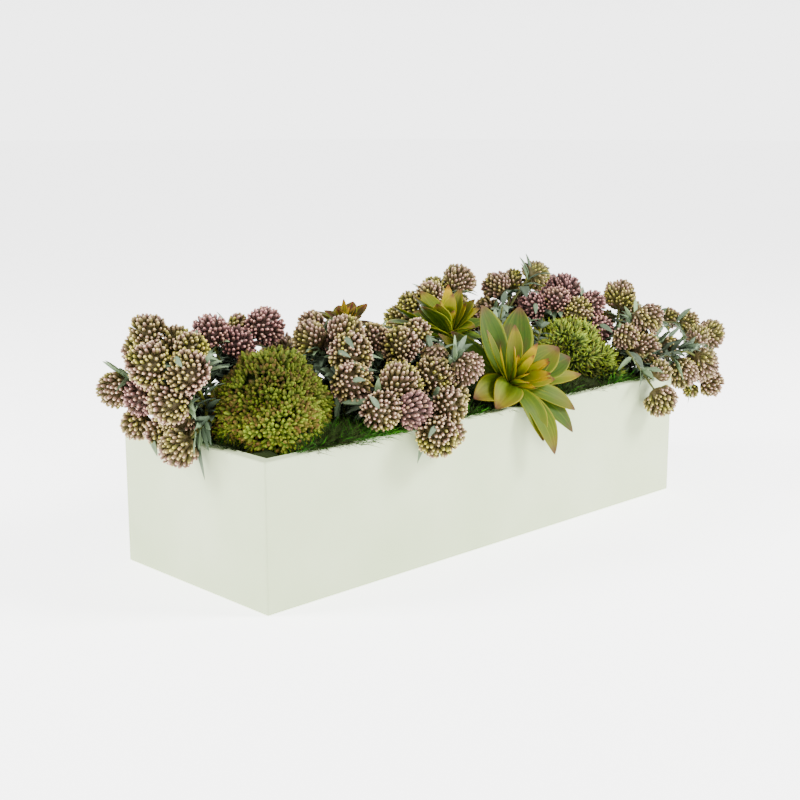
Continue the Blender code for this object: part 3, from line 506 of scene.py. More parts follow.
# Balls that stand for a rosette's leaves, where heads and branches keep clear of them.
def leafBalls(rosette):
    balls = []
    crown = np.array(rosette["crown"], float)
    for leaf in rosette["leaves"]:
        control, bow = leafControl(rosette, leaf)
        shares = (0.3, 0.5, 0.7, 0.9, 1.0)
        side = np.cross(np.array(leaf[:3]) - crown, bow)
        side /= np.linalg.norm(side) + 0.001
        for share, place in zip(shares, bendCurve(crown, control, leaf[:3], shares)):
            half = leaf[3] * float(leafWidth(share)) / 2
            balls += [(*(place + side * half * across), 1.5 + half * 0.3) for across in (-0.7, 0, 0.7)]
    stalk = np.linspace((*rosette["root"], planterPlan["height"]), rosette["crown"], 6)
    return balls + [(*place, 5.0) for place in stalk]


# From the foot in the foam, straight up through the moss, and on to the fork.
def trunkPath(spray):
    foot = np.array((*spray["root"], headPlan["stemFoot"]), float)
    out = np.array((*spray["root"], headPlan["stemStraight"]), float)
    fork = np.array(spray["fork"], float)
    return [foot, out, (out + fork) / 2 + (0, 0, 4), fork]


# The lower heads' branches leave the trunk lower down.
def branchStart(head):
    spray = sprayPlan[head["spray"]]
    trunk = trunkPath(spray)
    order = sorted(spray["heads"], key=lambda row: row[2])
    step = (order.index(spray["heads"][head["number"]]) + 1) / len(order)
    return trunk[2] + (trunk[3] - trunk[2]) * step


# Curves from the trunk to a head, straight or arched up, down and sideways.
def branchChoices(start, place):
    reach = np.linalg.norm(place - start)
    side = np.cross(place - start, (0, 0, 1))
    side /= np.linalg.norm(side) + 0.001
    for lift in (0.1, 0.25, 0.4, 0.6, 0.8, -0.1):
        for sway in (0, 0.2, -0.2, 0.45, -0.45):
            bend = np.array((0, 0, lift * reach)) + side * sway * reach
            yield (start + place) / 2 + bend, abs(lift - 0.1) + abs(sway)


# How badly a branch runs into other heads, the solids, other sprays' branches and the planter.
def crowdingOf(path, own, heads, solids, strangers):
    free = path[np.linalg.norm(path - own["place"], axis=1) > own["radius"] * 0.9]
    if not len(free):
        return 0.0
    cost = 0.0
    thick = headPlan["branchRadius"]
    for head in heads:
        if head is own:
            continue
        room = np.linalg.norm(free - head["place"], axis=1) - head["radius"] - thick - 1
        cost += np.clip(-room, 0, None).sum() * (0.3 if head["spray"] == own["spray"] else 2.0)
    room = np.linalg.norm(free[:, None] - solids[None, :, :3], axis=2) - solids[None, :, 3] - thick - 1
    cost += 20 * np.clip(-room, 0, None).sum()
    if len(strangers):
        room = np.linalg.norm(free[:, None] - strangers[None], axis=2) - 2 * thick - 2.5
        cost += 50 * np.clip(-room, 0, None).sum()
    inside = np.clip((filledBlock + thick + 2 - np.abs(free)).min(axis=1), 0, None)
    return cost + 50 * inside.sum()


# Each branch takes the choice that costs least, in two rounds, so that it knows the others' curves.
def growBranches(heads, solids):
    shares = np.linspace(0, 1, 28)
    trunks = {name: trunkPath(spray) for name, spray in sprayPlan.items()}
    fine = {}
    for name, trunk in trunks.items():
        fine[name] = np.concatenate([np.linspace(a, b, 8) for a, b in zip(trunk, trunk[1:])])
    for head in heads:
        head["control"] = None
        head["start"] = branchStart(head)
    for _ in range(2):
        for head in heads:
            strangers = [fine[name] for name in sprayPlan if name != head["spray"]]
            strangers += [
                bendCurve(o["start"], o["control"], o["place"], shares)
                for o in heads
                if o["spray"] != head["spray"] and o["control"] is not None
            ]
            strangers = np.concatenate(strangers)
            strangers = strangers[np.linalg.norm(strangers - head["place"], axis=1) < 130]
            best = None
            for control, bent in branchChoices(head["start"], head["place"]):
                path = bendCurve(head["start"], control, head["place"], shares)
                cost = crowdingOf(path, head, heads, solids, strangers) + bent
                if best is None or cost < best:
                    best, head["control"] = cost, control


solidBalls = [(*dome[:3], dome[3] + 1.5) for domes in cushionPlan.values() for dome in domes]
for rosette in rosettePlan.values():
    solidBalls += leafBalls(rosette)
solidBalls = np.array(solidBalls, float)
heads, links = listHeads()
settleHeads(heads, links, solidBalls)
growBranches(heads, solidBalls)
for head in heads:
    head["way"] = unit(head["place"] - head["control"])
headPlaces = np.array([head["place"] for head in heads])
headSizes = np.array([head["radius"] for head in heads])
showSide = np.array(headPlan["showSide"])
print("heads placed:", len(heads))


# Flower heads: balls of egg-shaped buds on fine stalks, moulded in soft plastic.
budLook = {
    "spacing": 6.1,  # between bud tips
    "width": 4.0,
    "sides": 5,
    "ringsBack": (10.0, 6.4, 3.4, 0.9),  # from the tip, with the bud's full width
    "ringsLatest": (0.9, 0.7, 0.4, 0.15),  # the same, at most, of the stalk and bud
    "swell": (0.42, 0.86, 1.0, 0.6),
    "flatten": 0.9,
    "bareCone": -0.62,
    "bareConeBehind": -0.86,  # on heads that face away from the show side
    "facesAway": -0.1,
    "clearOf": 0.86,  # of a neighbour's radius
    "hub": 0.7,  # how far behind the middle the stalks meet, of the radius
    "coreShare": 0.64,
    "sideShare": 0.62,  # radius of a side head, of its head's own
    "sideTries": 24,
}


# Buds: rings stand back from the tip by fixed lengths, on a stalk that runs down to its base, and the
# half width swells from the stalk to the middle of the bud and closes at its tip.
def growBuds(base, tip, width, **marks):
    ahead = unit(tip - base)
    length = np.linalg.norm(tip - base, axis=1)[:, None]
    back = np.array(budLook["ringsBack"])[None] * (width / budLook["width"])[:, None]
    back = np.minimum(back, length * budLook["ringsLatest"])
    centres = tip[:, None] - ahead[:, None] * back[:, :, None]
    across, lift = (side[:, None] * np.ones((1, 4, 1)) for side in frameAlong(ahead, anyUp(ahead)))
    swell = np.array(budLook["swell"])[None] * (width / 2)[:, None]
    outline = swell[:, :, None, None] * circleOf(budLook["sides"])
    ends = np.stack([base, tip], axis=1)
    marks = {name: values[:, None] for name, values in marks.items()}
    return sweepShapes(centres, across, lift, outline, ends, along=(0, 0.3, 0.55, 0.8, 0.95, 1), **marks)


# A ball of few faces: rings at cosine heights along its axis.
def roundCore(place, axis, radius, **marks):
    angle = np.linspace(0, math.pi, 7)[1:-1]
    axis = np.asarray(axis, float)
    centres = (place - axis * np.cos(angle)[:, None] * radius)[None]
    across, lift = (side * np.ones((1, 5, 1)) for side in frameAlong(axis, anyUp(axis)))
    outline = (radius * np.sin(angle))[None, :, None, None] * circleOf(8)
    ends = np.stack([place - axis * radius, place + axis * radius])[None]
    return sweepShapes(centres, across, lift, outline, ends, **marks)


# Round stems: rings along the paths whose radius falls evenly to the tip.
def growStems(paths, radii, **marks):
    ahead = unit(np.gradient(paths, axis=1))
    across, lift = frameAlong(ahead, anyUp(ahead[:, :1]) + 0 * ahead)
    outline = radii[..., None, None] * circleOf(7) * np.ones((len(paths), 1, 1, 1))
    ends = np.stack([paths[:, 0] - ahead[:, 0] * 0.3, paths[:, -1] + ahead[:, -1] * 0.5], axis=1)
    return sweepShapes(paths, across, lift, outline, ends, **marks)


# Bud tips: points of a ball, flattened along the stalk, none in the cone where the stalk comes in and
# none inside a neighbour. Each stalk runs in towards a place a little behind the middle.
def headBuds(head, others, draw):
    radius, way = head["radius"], head["way"]
    finer = 0.86 + 0.14 * min(1.0, radius / 18)
    count = int(4 * math.pi * (0.97 * radius) ** 2 / (0.866 * (budLook["spacing"] * finer) ** 2))
    across, lift = frameAlong(way, anyUp(way))
    ball = unit(goldenBall(count, draw.uniform(0, 6)) + draw.normal(0, 0.05, (count, 3)))
    level = ball[:, :1] * across + ball[:, 1:2] * lift
    out = level + ball[:, 2:] * way
    lump = np.sin(out @ draw.normal(0, 2.6, 3) + draw.uniform(0, 6))
    reach = draw.uniform(0.90, 1.0, count) + 0.05 * lump
    turned = way @ showSide < budLook["facesAway"]
    tip = head["place"] + radius * reach[:, None] * (level + (ball[:, 2:] * budLook["flatten"]) * way)
    keep = ball[:, 2] > budLook["bareConeBehind" if turned else "bareCone"]
    for other in others:
        keep &= np.linalg.norm(tip - other["place"], axis=1) > other["radius"] * budLook["clearOf"]
    hub = head["place"] - way * radius * budLook["hub"]
    patch = np.sin(out @ draw.normal(0, 2.2, 3) + draw.uniform(0, 6))
    rows = {
        "base": hub + (tip - hub) * 0.15,
        "tip": tip,
        "blush": np.clip(0.62 + 0.3 * patch + draw.normal(0, 0.16, count), 0, 1),
        "shade": np.clip(draw.normal(0.5, 0.2, count), 0, 1),
        "tone": np.clip(head["tone"] + draw.normal(0, 0.05, count), 0, 1),
        "width": budLook["width"] * finer * draw.uniform(0.85, 1.12, count),
    }
    return {key: values[keep] for key, values in rows.items()}


# Side heads: small umbels on each branch, behind the head and to one side, where nothing else is.
def sideHeads(draw):
    found = []
    for head in heads:
        way = head["way"]
        across, lift = frameAlong(way, anyUp(way))
        for _ in range(budLook["sideTries"]):
            turn = draw.uniform(0, math.tau)
            around = across * math.cos(turn) + lift * math.sin(turn)
            if around[0] + around[1] < 0:
                continue
            small = head["radius"] * budLook["sideShare"] * draw.uniform(0.85, 1.15)
            behind = way * head["radius"] * draw.uniform(0.75, 1.4)
            place = head["place"] - behind + around * head["radius"] * 0.9
            if np.all(np.abs(place) < filledBlock + small):
                continue
            if (np.linalg.norm(solidBalls[:, :3] - place, axis=1) < solidBalls[:, 3] + small * 0.8).any():
                continue
            others = heads + found
            if min(np.linalg.norm(o["place"] - place) - 0.92 * (o["radius"] + small) for o in others) < 0:
                continue
            root = head["place"] - way * head["radius"] * 1.3
            tone = float(np.clip(head["tone"] - draw.uniform(0, 0.15), 0, 1))
            side = {"place": place, "radius": small, "way": unit(place - root), "root": root, "tone": tone}
            found.append({**head, **side})
            break
    return found


# The solid node that holds a head: the one with the most corners within the head's reach.
def nodeOfHead(head, corners):
    best = None
    for name, places in corners.items():
        if name.startswith(head["spray"] + "_flowers"):
            near = np.linalg.norm(places - head["place"], axis=1) < head["radius"] * 1.03
            if best is None or near.sum() > best[0]:
                best = (near.sum(), name)
    return best[1]


# Colours of a bud from its stalk to its tip: the tips are pale, and the last stop, far brighter than the
# one before, is a painted highlight at the very end of each tip.
budStops = (0.0, 0.3, 0.55, 0.78, 0.93, 1.0)
budColours = {
    "olive": ("#594E2A", "#5B562A", "#535225", "#515020", "#7F7A2C", "#EFE245"),
    "pink": ("#594530", "#5B4A2F", "#56492B", "#564532", "#896759", "#FFDCBC"),
    "mauve": ("#543C33", "#5C4440", "#563F3C", "#563E3B", "#825958", "#FBB3A6"),
}


# Soft polyethylene, injection moulded in one colour and sprayed from outside with another: the eye sees a
# low sheen, dark stalks in the depth of the head and pale tips whose blush comes and goes in patches, with
# a painted highlight at the very end of each tip.
# The spray's mottle has 7 grains in 10 mm.
def makeBudMaterial(name):
    material, places, along, blush, shade, tone = startMaterial(
        name, ("along", "blush", "shade", "tone"), Roughness=0.5, Specular_IOR_Level=0.22,
    )
    olive, pink, mauve = (
        addNode(material, "ValToRGB", {0: along}, list(zip(budStops, colours)))
        for colours in budColours.values()
    )
    lowTone = addNode(material, "MapRange", {0: tone, 1: 0.15, 2: 0.45, 3: -0.75, 4: 0.0})
    pinkness = addNode(material, "Math", {0: blush, 1: lowTone}, operation="ADD", use_clamp=True)
    colour = blendOver(material, olive, pink, pinkness, (0.08, 0.9))
    colour = blendOver(material, colour, mauve, tone, (0.55, 0.9))
    colour = lighten(material, colour, shade, (0.0, 1.0), (0.64, 1.07))
    mottle = addNode(material, "TexNoise", {"Vector": places, "Scale": 7 / (10 * mm), "Detail": 2.0})
    colour = lighten(material, colour, mottle, (0.35, 0.65), (0.88, 1.1))
    return finishMaterial(material, colour, mottle, 0.25, 0.4 * mm)


budMaterials = {
    "pink_buds": makeBudMaterial("dusty pink moulded buds"),
    "mauve_buds": makeBudMaterial("dusky mauve moulded buds"),
    "lime_buds": makeBudMaterial("lime green moulded buds"),
}


# Each solid bunch of heads gives way to the buds, cores and side stems of the heads that it holds.
def makeHeads():
    corners = {}
    for name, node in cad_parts.items():
        if "_flowers_" in name:
            places = np.empty(len(node.data.vertices) * 3, np.float32)
            node.data.vertices.foreach_get("co", places)
            corners[name] = places.reshape(-1, 3) / mm
    for head in heads:
        head["node"] = nodeOfHead(head, corners)
    extra = sideHeads(np.random.default_rng(50))
    print("side heads:", len(extra))
    for number, node in enumerate(sorted(corners)):
        members = [head for head in heads + extra if head["node"] == node]
        draw = np.random.default_rng(100 + number)
        rows = [headBuds(head, [o for o in members if o is not head], draw) for head in members]
        shapes = [growBuds(**{key: np.concatenate([row[key] for row in rows]) for key in rows[0]})]
        for head in members:
            way, radius = head["way"], head["radius"]
            middle = head["place"] - way * radius * 0.15
            core = radius * budLook["coreShare"]
            shapes.append(roundCore(middle, way, core, along=0.1, blush=0.4, shade=0.3, tone=head["tone"]))
            if "root" in head:
                hub = head["place"] - way * radius * budLook["hub"]
                path = np.linspace(head["root"], hub + way * 4, 5)[None]
                thick = np.full((1, 5), 0.8)
                shapes.append(growStems(path, thick, along=0.35, blush=0.2, shade=0.5, tone=0.3))
        slot = sprayPlan[members[0]["spray"]]["slot"]
        addPiece(node + "_buds", joinShapes(shapes), budMaterials[slot], slot, node)


makeHeads()
print("flower heads:", sum(triangleCount.values()), "triangles")


# Stems, twigs and the sage leaves of each spray: "head" leaves hug the heads, "fill" leaves stand on the
# branches and "trunk" leaves on the trunk. Depth is painted shade: the fill and trunk leaves deep inside a
# spray are darkest, and depth 1 is the lightest.
foliageLook = {
    "head": {
        "most": 8, "tries": 40, "length": (18.0, 28.0), "width": (6.0, 8.5),
        "droop": 0.25, "depth": (0.55, 1.0),
    },
    "fill": {
        "most": 4, "tries": 16, "rise": (-0.3, 0.9), "length": (26.0, 38.0), "width": (10.0, 14.0),
        "droop": 0.3, "depth": (0.1, 0.5), "lowest": 0.0,
    },
    "trunk": {
        "most": 44, "tries": 132, "rise": (0.1, 1.1), "length": (26.0, 42.0), "width": (9.0, 13.0),
        "droop": 0.3, "depth": (0.0, 0.4), "lowest": planterPlan["height"] + 2,
    },
    "thickness": 0.5,
    "raised": 0.32,  # of the edges, by the leaf's half width
    "inFront": 0.1,  # share of the leaves before a head that stay
    "coverReach": 70.0,
    "coverShare": 0.75,
    "headShare": 0.85,
    "trunkRadius": (2.6, 1.9),
    "branchRadius": (1.7, 1.1),
    "thin": {"sedum_right_end": 0.3, "sedum_right_front": 0.4, "sedum_right_low": 0.3, "sedum_left_front": 0.4},
}


# Leafy shoots that stand up from the moss between the sprays, as foot x, y and tip x, y, z.
shootPlan = [
    ((150, 30), (134, 6, 226)), ((162, 44), (160, 26, 214)), ((118, 24), (112, -2, 208)),
    ((216, 44), (214, 26, 196)), ((-70, 10), (-58, 2, 204)), ((-50, 24), (-46, 12, 186)),
    ((-84, 0), (-80, -12, 180)), ((-14, 10), (-20, -4, 206)), ((16, 40), (4, 24, 206)),
    ((78, 40), (82, 20, 214)), ((-216, 78), (-220, 82, 172)), ((-156, 82), (-150, 88, 170)),
    ((-100, 80), (-94, 86, 178)), ((-34, 82), (-28, 88, 170)), ((24, 76), (30, 82, 178)),
    ((74, 84), (80, 90, 170)), ((120, 64), (126, 68, 182)), ((166, 86), (172, 92, 168)),
    ((214, 80), (220, 84, 174)), ((266, 56), (272, 62, 170)), ((-266, 74), (-274, 80, 168)),
    ((-124, 46), (-120, 52, 178)), ((270, -30), (282, -44, 172)), ((262, -84), (276, -96, 166)),
    ((140, -34), (150, -38, 202)), ((62, -22), (68, -26, 206)), ((256, -52), (262, -70, 176)),
    ((284, -58), (298, -80, 172)), ((170, 6), (184, 10, 200)), ((-268, 14), (-266, 22, 214)),
    ((-272, -6), (-280, -4, 186)), ((-206, 52), (-202, 52, 212)), ((286, -30), (306, -44, 186)),
    ((104, -44), (110, -50, 170)), ((14, -26), (8, -32, 176)), ((98, 0), (104, -4, 180)),
    ((-20, -34), (-26, -40, 170)), ((66, 40), (62, 34, 176)), ((132, 68), (136, 62, 176)),
    ((-96, -30), (-92, -36, 168)), ((-148, -36), (-152, -44, 164)),
]
shootLook = {"pairs": 8, "length": (16.0, 25.0), "width": (6.5, 9.5), "droop": 0.2, "stem": (1.5, 0.9)}
# Single pale leaves that stand out before the heads, as base and tip. They root 5 mm inside the nearest
# head, and are shorter and narrower than the line from base to tip and the other leaves.
# Their depth is painted light: they stand before the heads and so take little painted shade.
paleLeafLook = {"inside": 5.0, "length": 0.9, "width": 0.72, "depth": (0.6, 0.85)}
paleLeafPlan = {
    "sedum_middle_left": [
        ((-158, -44, 235), (-165, -67, 226)), ((-157, -55, 202), (-158, -81, 196)),
        ((-171, -75, 189), (-174, -99, 193)), ((-170, -42, 213), (-172, -67, 210)),
    ],
    "sedum_middle_front": [
        ((-175, -115, 170), (-194, -120, 187)), ((-107, -99, 172), (-113, -124, 158)),
        ((-129, -144, 157), (-150, -153, 149)),
    ],
    "sedum_middle_right": [((-41, -47, 216), (-53, -67, 198))],
    "sedum_left_end": [((-334, -14, 229), (-340, -36, 222))],
    "sedum_back_middle": [((206, 16, 222), (190, 2, 210))],
    "sedum_left_front": [((-306, -33, 218), (-310, -53, 231)), ((-328, 29, 143), (-336, 6, 128))],
    "sedum_back_right": [((281, 25, 218), (262, 20, 203))],
    "sedum_right_front": [
        ((252, -42, 201), (247, -68, 193)), ((322, -70, 173), (342, -78, 197)),
        ((332, -74, 180), (352, -84, 198)),
    ],
}


# Lance-shaped leaves: width = sine of a skewed share of the length, edges raised with the square of the
# distance from the midrib, thickness least at the edges.
def growLeaves(base, out, length, width, face, droop, seed, depth):
    down = np.array([0.0, 0.0, -1.0])
    tip = base + out * length[:, None] + down * (droop * length)[:, None]
    control = base + out * (length * 0.5)[:, None] - down * (0.12 * length)[:, None]
    shares = np.array([0.03, 0.18, 0.38, 0.58, 0.78, 0.93])
    paths = bendCurve(base, control, tip, shares)
    ahead = unit(np.gradient(paths, axis=1))
    across, lift = frameAlong(ahead, face[:, None] + 0 * ahead)
    wide = np.sin(math.pi * shares**0.8) ** 0.85
    x, y = circleOf(6).T
    half = wide[None, :, None] * (width / 2)[:, None, None]
    height = half * foliageLook["raised"] * x**2 + foliageLook["thickness"] / 2 * y
    shape = sweepShapes(
        paths, across, lift, np.stack([half * x, height], axis=-1), np.stack([base, tip], axis=1),
        along=np.concatenate([[0], shares, [1]]), leaf=1.0, seed=seed[:, None], depth=depth[:, None],
    )
    edge = np.concatenate([[0], np.tile(np.abs(x), len(shares)), [0]])
    shape["marks"]["edge"] = np.tile(edge, len(base))
    return shape


# A leaf grows only where its middle line meets neither the filled planter nor a rosette or cushion, and
# where its outer part runs through no flower head. Few leaves stand in front of a head on the show side.
def isFree(base, out, length, draw):
    spine = base[:, None] + out[:, None] * (length[:, None] * np.linspace(0.15, 1.1, 7))[:, :, None]
    inside = np.all(np.abs(spine) < filledBlock + 2.5, axis=2).any(axis=1)
    room = np.linalg.norm(spine[:, :, None] - solidBalls[None, None, :, :3], axis=3) - solidBalls[:, 3] + 0.5
    line = spine[:, 2:, None] - headPlaces
    clear = (np.linalg.norm(line, axis=3) > foliageLook["headShare"] * headSizes).all(axis=(1, 2))
    ahead = line @ showSide
    beside = np.sqrt(np.clip((line**2).sum(axis=3) - ahead**2, 0, None))
    before = (ahead > 0) & (ahead < foliageLook["coverReach"])
    covers = (before & (beside < foliageLook["coverShare"] * headSizes)).any(axis=(1, 2))
    covers &= draw.uniform(0, 1, len(base)) > foliageLook["inFront"]
    return ~inside & (room > 0).all(axis=(1, 2)) & clear & ~covers


# The chosen leaves, each with a droop, a seed and a depth of its own; the depth is painted shade.
def chosenLeaves(keep, leaves, droop, depth, draw):
    count = keep.sum()
    leaves = [values[keep] for values in leaves]
    droops, seeds = draw.uniform(0, droop, count), draw.uniform(0, 1, count)
    shadeDepths = draw.uniform(*depth, count) if isinstance(depth, tuple) else depth[keep]
    return growLeaves(*leaves, droops, seeds, shadeDepths)


# The first free leaves of each group of tries.
def firstFree(free, groups, most):
    return free & (np.cumsum(free.reshape(groups, -1), axis=1).ravel() <= most)


# Leaves from a slope: out = a way around it at random + some of the slope. Every second one sits close
# under the head and stands past it.
def headLeaves(starts, controls, places, sizes, draw):
    look = foliageLook["head"]
    branches = len(places)
    which = np.repeat(np.arange(branches), look["tries"])
    count = len(which)
    reach = np.linalg.norm(places - starts, axis=1)
    closest = np.tile(np.arange(look["tries"]) % 2 == 0, branches)
    latest = np.clip(1 - 0.8 * sizes / reach, 0.3, 0.95)[which]
    share = latest * np.where(closest, draw.uniform(0.88, 1.0, count), draw.uniform(0.45, 1.0, count))
    base, slope = onCurve(starts[which], controls[which], places[which], share[:, None])
    across, lift = frameAlong(slope, anyUp(slope))
    turn = draw.uniform(0, math.tau, (count, 1))
    around = across * np.cos(turn) + lift * np.sin(turn)
    forward = np.where(closest, draw.uniform(0.2, 0.75, count), draw.uniform(0.3, 1.4, count))
    out = unit(around + slope * forward[:, None])
    length = draw.uniform(*look["length"], count) * (0.8 + 0.2 * sizes[which] / 20)
    length = np.where(closest, sizes[which] * 1.3 + draw.uniform(4, 12, count), length)
    leaves = (base, out, length, draw.uniform(*look["width"], count), unit(slope + (0, 0, 0.6)))
    keep = firstFree(isFree(base, out, length, draw), branches, look["most"])
    return chosenLeaves(keep, leaves, look["droop"], look["depth"], draw)


# Leaves that stand out all round: out = any way in the level + a rise, with the face turned up.
def spreadLeaves(base, groups, thin, look, draw):
    count = len(base)
    turn = draw.uniform(0, math.tau, count)
    out = unit(np.stack([np.cos(turn), np.sin(turn), draw.uniform(*look["rise"], count)], axis=1))
    length, width = draw.uniform(*look["length"], count), draw.uniform(*look["width"], count)
    free = isFree(base, out, length, draw) & (base[:, 2] > look["lowest"])
    keep = firstFree(free, groups, look["most"] * thin)
    leaves = (base, out, length, width, unit(out * (-0.4, -0.4, 0) + (0, 0, 1)))
    return chosenLeaves(keep, leaves, look["droop"], look["depth"], draw)


# Pale leaves: the base of each moves towards the nearest head until it is inside it.
def paleLeaves(ends, draw):
    ends = np.array(ends, float)
    way, count = ends[:, 1] - ends[:, 0], len(ends)
    length = np.linalg.norm(way, axis=1) * paleLeafLook["length"]
    gap = np.linalg.norm(ends[:, :1] - headPlaces, axis=2) - headSizes
    close = gap.argmin(axis=1)
    shift = np.clip(gap[np.arange(count), close] + paleLeafLook["inside"], 0, None)
    root = ends[:, 0] + unit(headPlaces[close] - ends[:, 0]) * shift[:, None]
    width = draw.uniform(*foliageLook["head"]["width"], count) * paleLeafLook["width"]
    seed, depth = draw.uniform(0.2, 0.8, count), draw.uniform(*paleLeafLook["depth"], count)
    face = showSide * np.ones((count, 1))
    return growLeaves(root, unit(way), length, width, face, np.zeros(count), seed, depth)


# Shoots: a thin stem goes straight up, then bends to its tip. Its leaves stand in pairs, each pair square
# to the one below, and grow shorter along the stem.
def growShoots(plans, draw):
    foot = np.array([(*plan[0], planterPlan["foamTop"] + 2) for plan in plans], float)
    tip = np.array([plan[1] for plan in plans], float)
    control = foot + (0, 0, 1) * (tip - foot) * 0.6
    paths = bendCurve(foot, control, tip, np.linspace(0, 1, 8))
    shade = draw.uniform(0, 0.6, (len(plans), 1))
    stems = growStems(paths, np.linspace(*shootLook["stem"], 8)[None], along=0.6, shade=shade)
    leaves = 2 * shootLook["pairs"]
    which = np.repeat(np.arange(len(plans)), leaves)
    count = len(which)
    t = np.tile(np.repeat(np.linspace(0.3, 1.0, shootLook["pairs"]), 2), len(plans))
    base, slope = onCurve(foot[which], control[which], tip[which], t[:, None])
    across, lift = frameAlong(slope, anyUp(slope))
    step = np.arange(leaves)
    turn = np.tile(step * math.pi + step // 2 * math.pi / 2, len(plans)) + draw.normal(0, 0.3, count)
    around = across * np.cos(turn)[:, None] + lift * np.sin(turn)[:, None]
    out = unit(around + slope * draw.uniform(0.2, 0.9, (count, 1)))
    length = draw.uniform(*shootLook["length"], count) * (1.2 - 0.4 * t)
    width = draw.uniform(*shootLook["width"], count)
    keep = isFree(base, out, length, draw)
    # Depth is painted shade: the lower leaves of a shoot are darker.
    depth = np.clip(t - 0.3 + draw.normal(0, 0.15, count), 0, 1)
    leaves = (base, out, length, width, unit(slope + (0, 0, 0.4)))
    return [stems, chosenLeaves(keep, leaves, shootLook["droop"], depth, draw)]


# Each spray's stems give way to its trunk, smoothed at the fork, its branches, its leaves and the shoots
# that stand nearest to it.
def makeFoliage():
    roots = np.array([spray["root"] for spray in sprayPlan.values()], float)
    nearest = [np.linalg.norm(roots - plan[0], axis=1).argmin() for plan in shootPlan]
    for number, (name, spray) in enumerate(sprayPlan.items()):
        draw = np.random.default_rng(300 + number)
        thin = foliageLook["thin"].get(name, 1.0)
        corners = np.array(trunkPath(spray))
        run = np.concatenate([[0], np.cumsum(np.linalg.norm(np.diff(corners, axis=0), axis=1))])
        reach = np.linspace(55, run[-1], 14)
        trunk = np.stack([np.interp(reach, run, corners[:, k]) for k in range(3)], axis=1)
        trunk[1:-1] = (trunk[:-2] + 2 * trunk[1:-1] + trunk[2:]) / 4
        radii = np.linspace(*foliageLook["trunkRadius"], 14)[None]
        shapes = [growStems(trunk[None], radii, along=0.4, shade=draw.uniform(0.3, 0.7))]
        own = [head for head in heads if head["spray"] == name]
        starts, controls, places, sizes = (
            np.array([head[key] for head in own]) for key in ("start", "control", "place", "radius")
        )
        paths = bendCurve(starts, controls, places, np.linspace(0, 1, 10))
        radii = np.linspace(*foliageLook["branchRadius"], 10)[None]
        shapes.append(growStems(paths, radii, along=0.6, shade=draw.uniform(0, 1, (len(own), 1))))
        shapes.append(headLeaves(starts, controls, places, sizes, draw))
        which = np.repeat(np.arange(len(own)), foliageLook["fill"]["tries"])
        t = draw.uniform(0.1, 0.7, (len(which), 1))
        base = onCurve(starts[which], controls[which], places[which], t)[0]
        shapes.append(spreadLeaves(base, len(own), thin, foliageLook["fill"], draw))
        reach = draw.uniform(0.35, 1.0, foliageLook["trunk"]["tries"]) * run[-1]
        base = np.stack([np.interp(reach, run, corners[:, k]) for k in range(3)], axis=1)
        shapes.append(spreadLeaves(base, 1, thin, foliageLook["trunk"], draw))
        plans = [plan for plan, close in zip(shootPlan, nearest) if close == number]
        if plans:
            shapes += growShoots(plans, draw)
        if name in paleLeafPlan:
            shapes.append(paleLeaves(paleLeafPlan[name], draw))
        addPiece(name + "_foliage", joinShapes(shapes), sageFoliage, "sedum_stem", name + "_stems")


# Thin leaves of moulded soft plastic, dusted with a sage coating, on dyed stems: hardly any sheen, a bloom
# that is uneven like chalk, and a paler rib. The bloom's mottle has 13 grains in 50 mm.
def makeSageMaterial():
    material, places, leaf, seed, depth, edge, shade = startMaterial(
        "sage green coated leaf", ("leaf", "seed", "depth", "edge", "shade"),
        Roughness=0.62, Specular_IOR_Level=0.3,
    )
    # Depth sets painted shade: leaves deep in a spray, on the trunk and low on the branches are darker.
    blade = addNode(material, "ValToRGB", {0: depth}, [
        (0.0, "#384434"), (0.4, "#485643"), (0.7, "#5D6F56"), (1.0, "#7D9569"),
    ])
    blade = blendOver(material, blade, "#86A372", edge, (0.0, 0.25), (0.35, 0.0))
    blade = lighten(material, blade, seed, (0.0, 1.0), (0.75, 1.2))
    stem = addNode(material, "ValToRGB", {0: shade}, [(0.0, "#3E411B"), (0.5, "#50541E"), (1.0, "#63681C")])
    colour = addNode(material, "Mix", {0: leaf, 6: stem, 7: blade}, output=2, data_type="RGBA")
    mottle = addNode(material, "TexNoise", {"Vector": places, "Scale": 13 / (50 * mm), "Detail": 3.0})
    colour = lighten(material, colour, mottle, (0.3, 0.7), (0.86, 1.12))
    return finishMaterial(material, colour, mottle, 0.2, 0.4 * mm)


sageFoliage = makeSageMaterial()
makeFoliage()
print("foliage:", sum(triangleCount.values()), "triangles")


# Stonecrop cushions: tufts of fleshy leaves all over low domes.
# In each look, lowLight lifts the lowest tufts of the left cushion and darkens those of the right one, and the
# flank way marks a side that is painted lighter: both are painted light. That side's redder tips are its own
# colour.
cushionLook = {
    "stonecrop_cushion_left": {
        "spacing": 9.2, "leaves": 8, "length": 12.0, "width": 4.3, "lean": 50.0, "sides": 4,
        "uneven": 2.2,
        "extra": [(-250, -14, 146, 36)],
        "lump": 4.5, "slumps": (((-0.5, 0.48, 0.72), 9.0), ((0.62, -0.6, 0.5), 5.0)),
        "shares": (0.04, 0.55, 0.88), "swell": (0.5, 1.0, 0.68), "lowLight": 1.9, "patchy": 0.17,
        "flankBlushAndLight": (-0.7, 0.6, 0.2),
    },
    "stonecrop_cushion_right": {
        "spacing": 15.0, "leaves": 24, "length": 17.0, "width": 2.9, "lean": 76.0, "sides": 4,
        "uneven": 4.6,
        "extra": [],
        "lump": 8.0, "slumps": (((-0.6, 0.3, 0.7), 4.0),), "shares": (0.04, 0.6), "swell": (0.75, 1.0),
        "lowLight": -0.8, "patchy": 0.3, "flankBlushAndLight": (-0.7, 0.6, 0.2),
    },
}


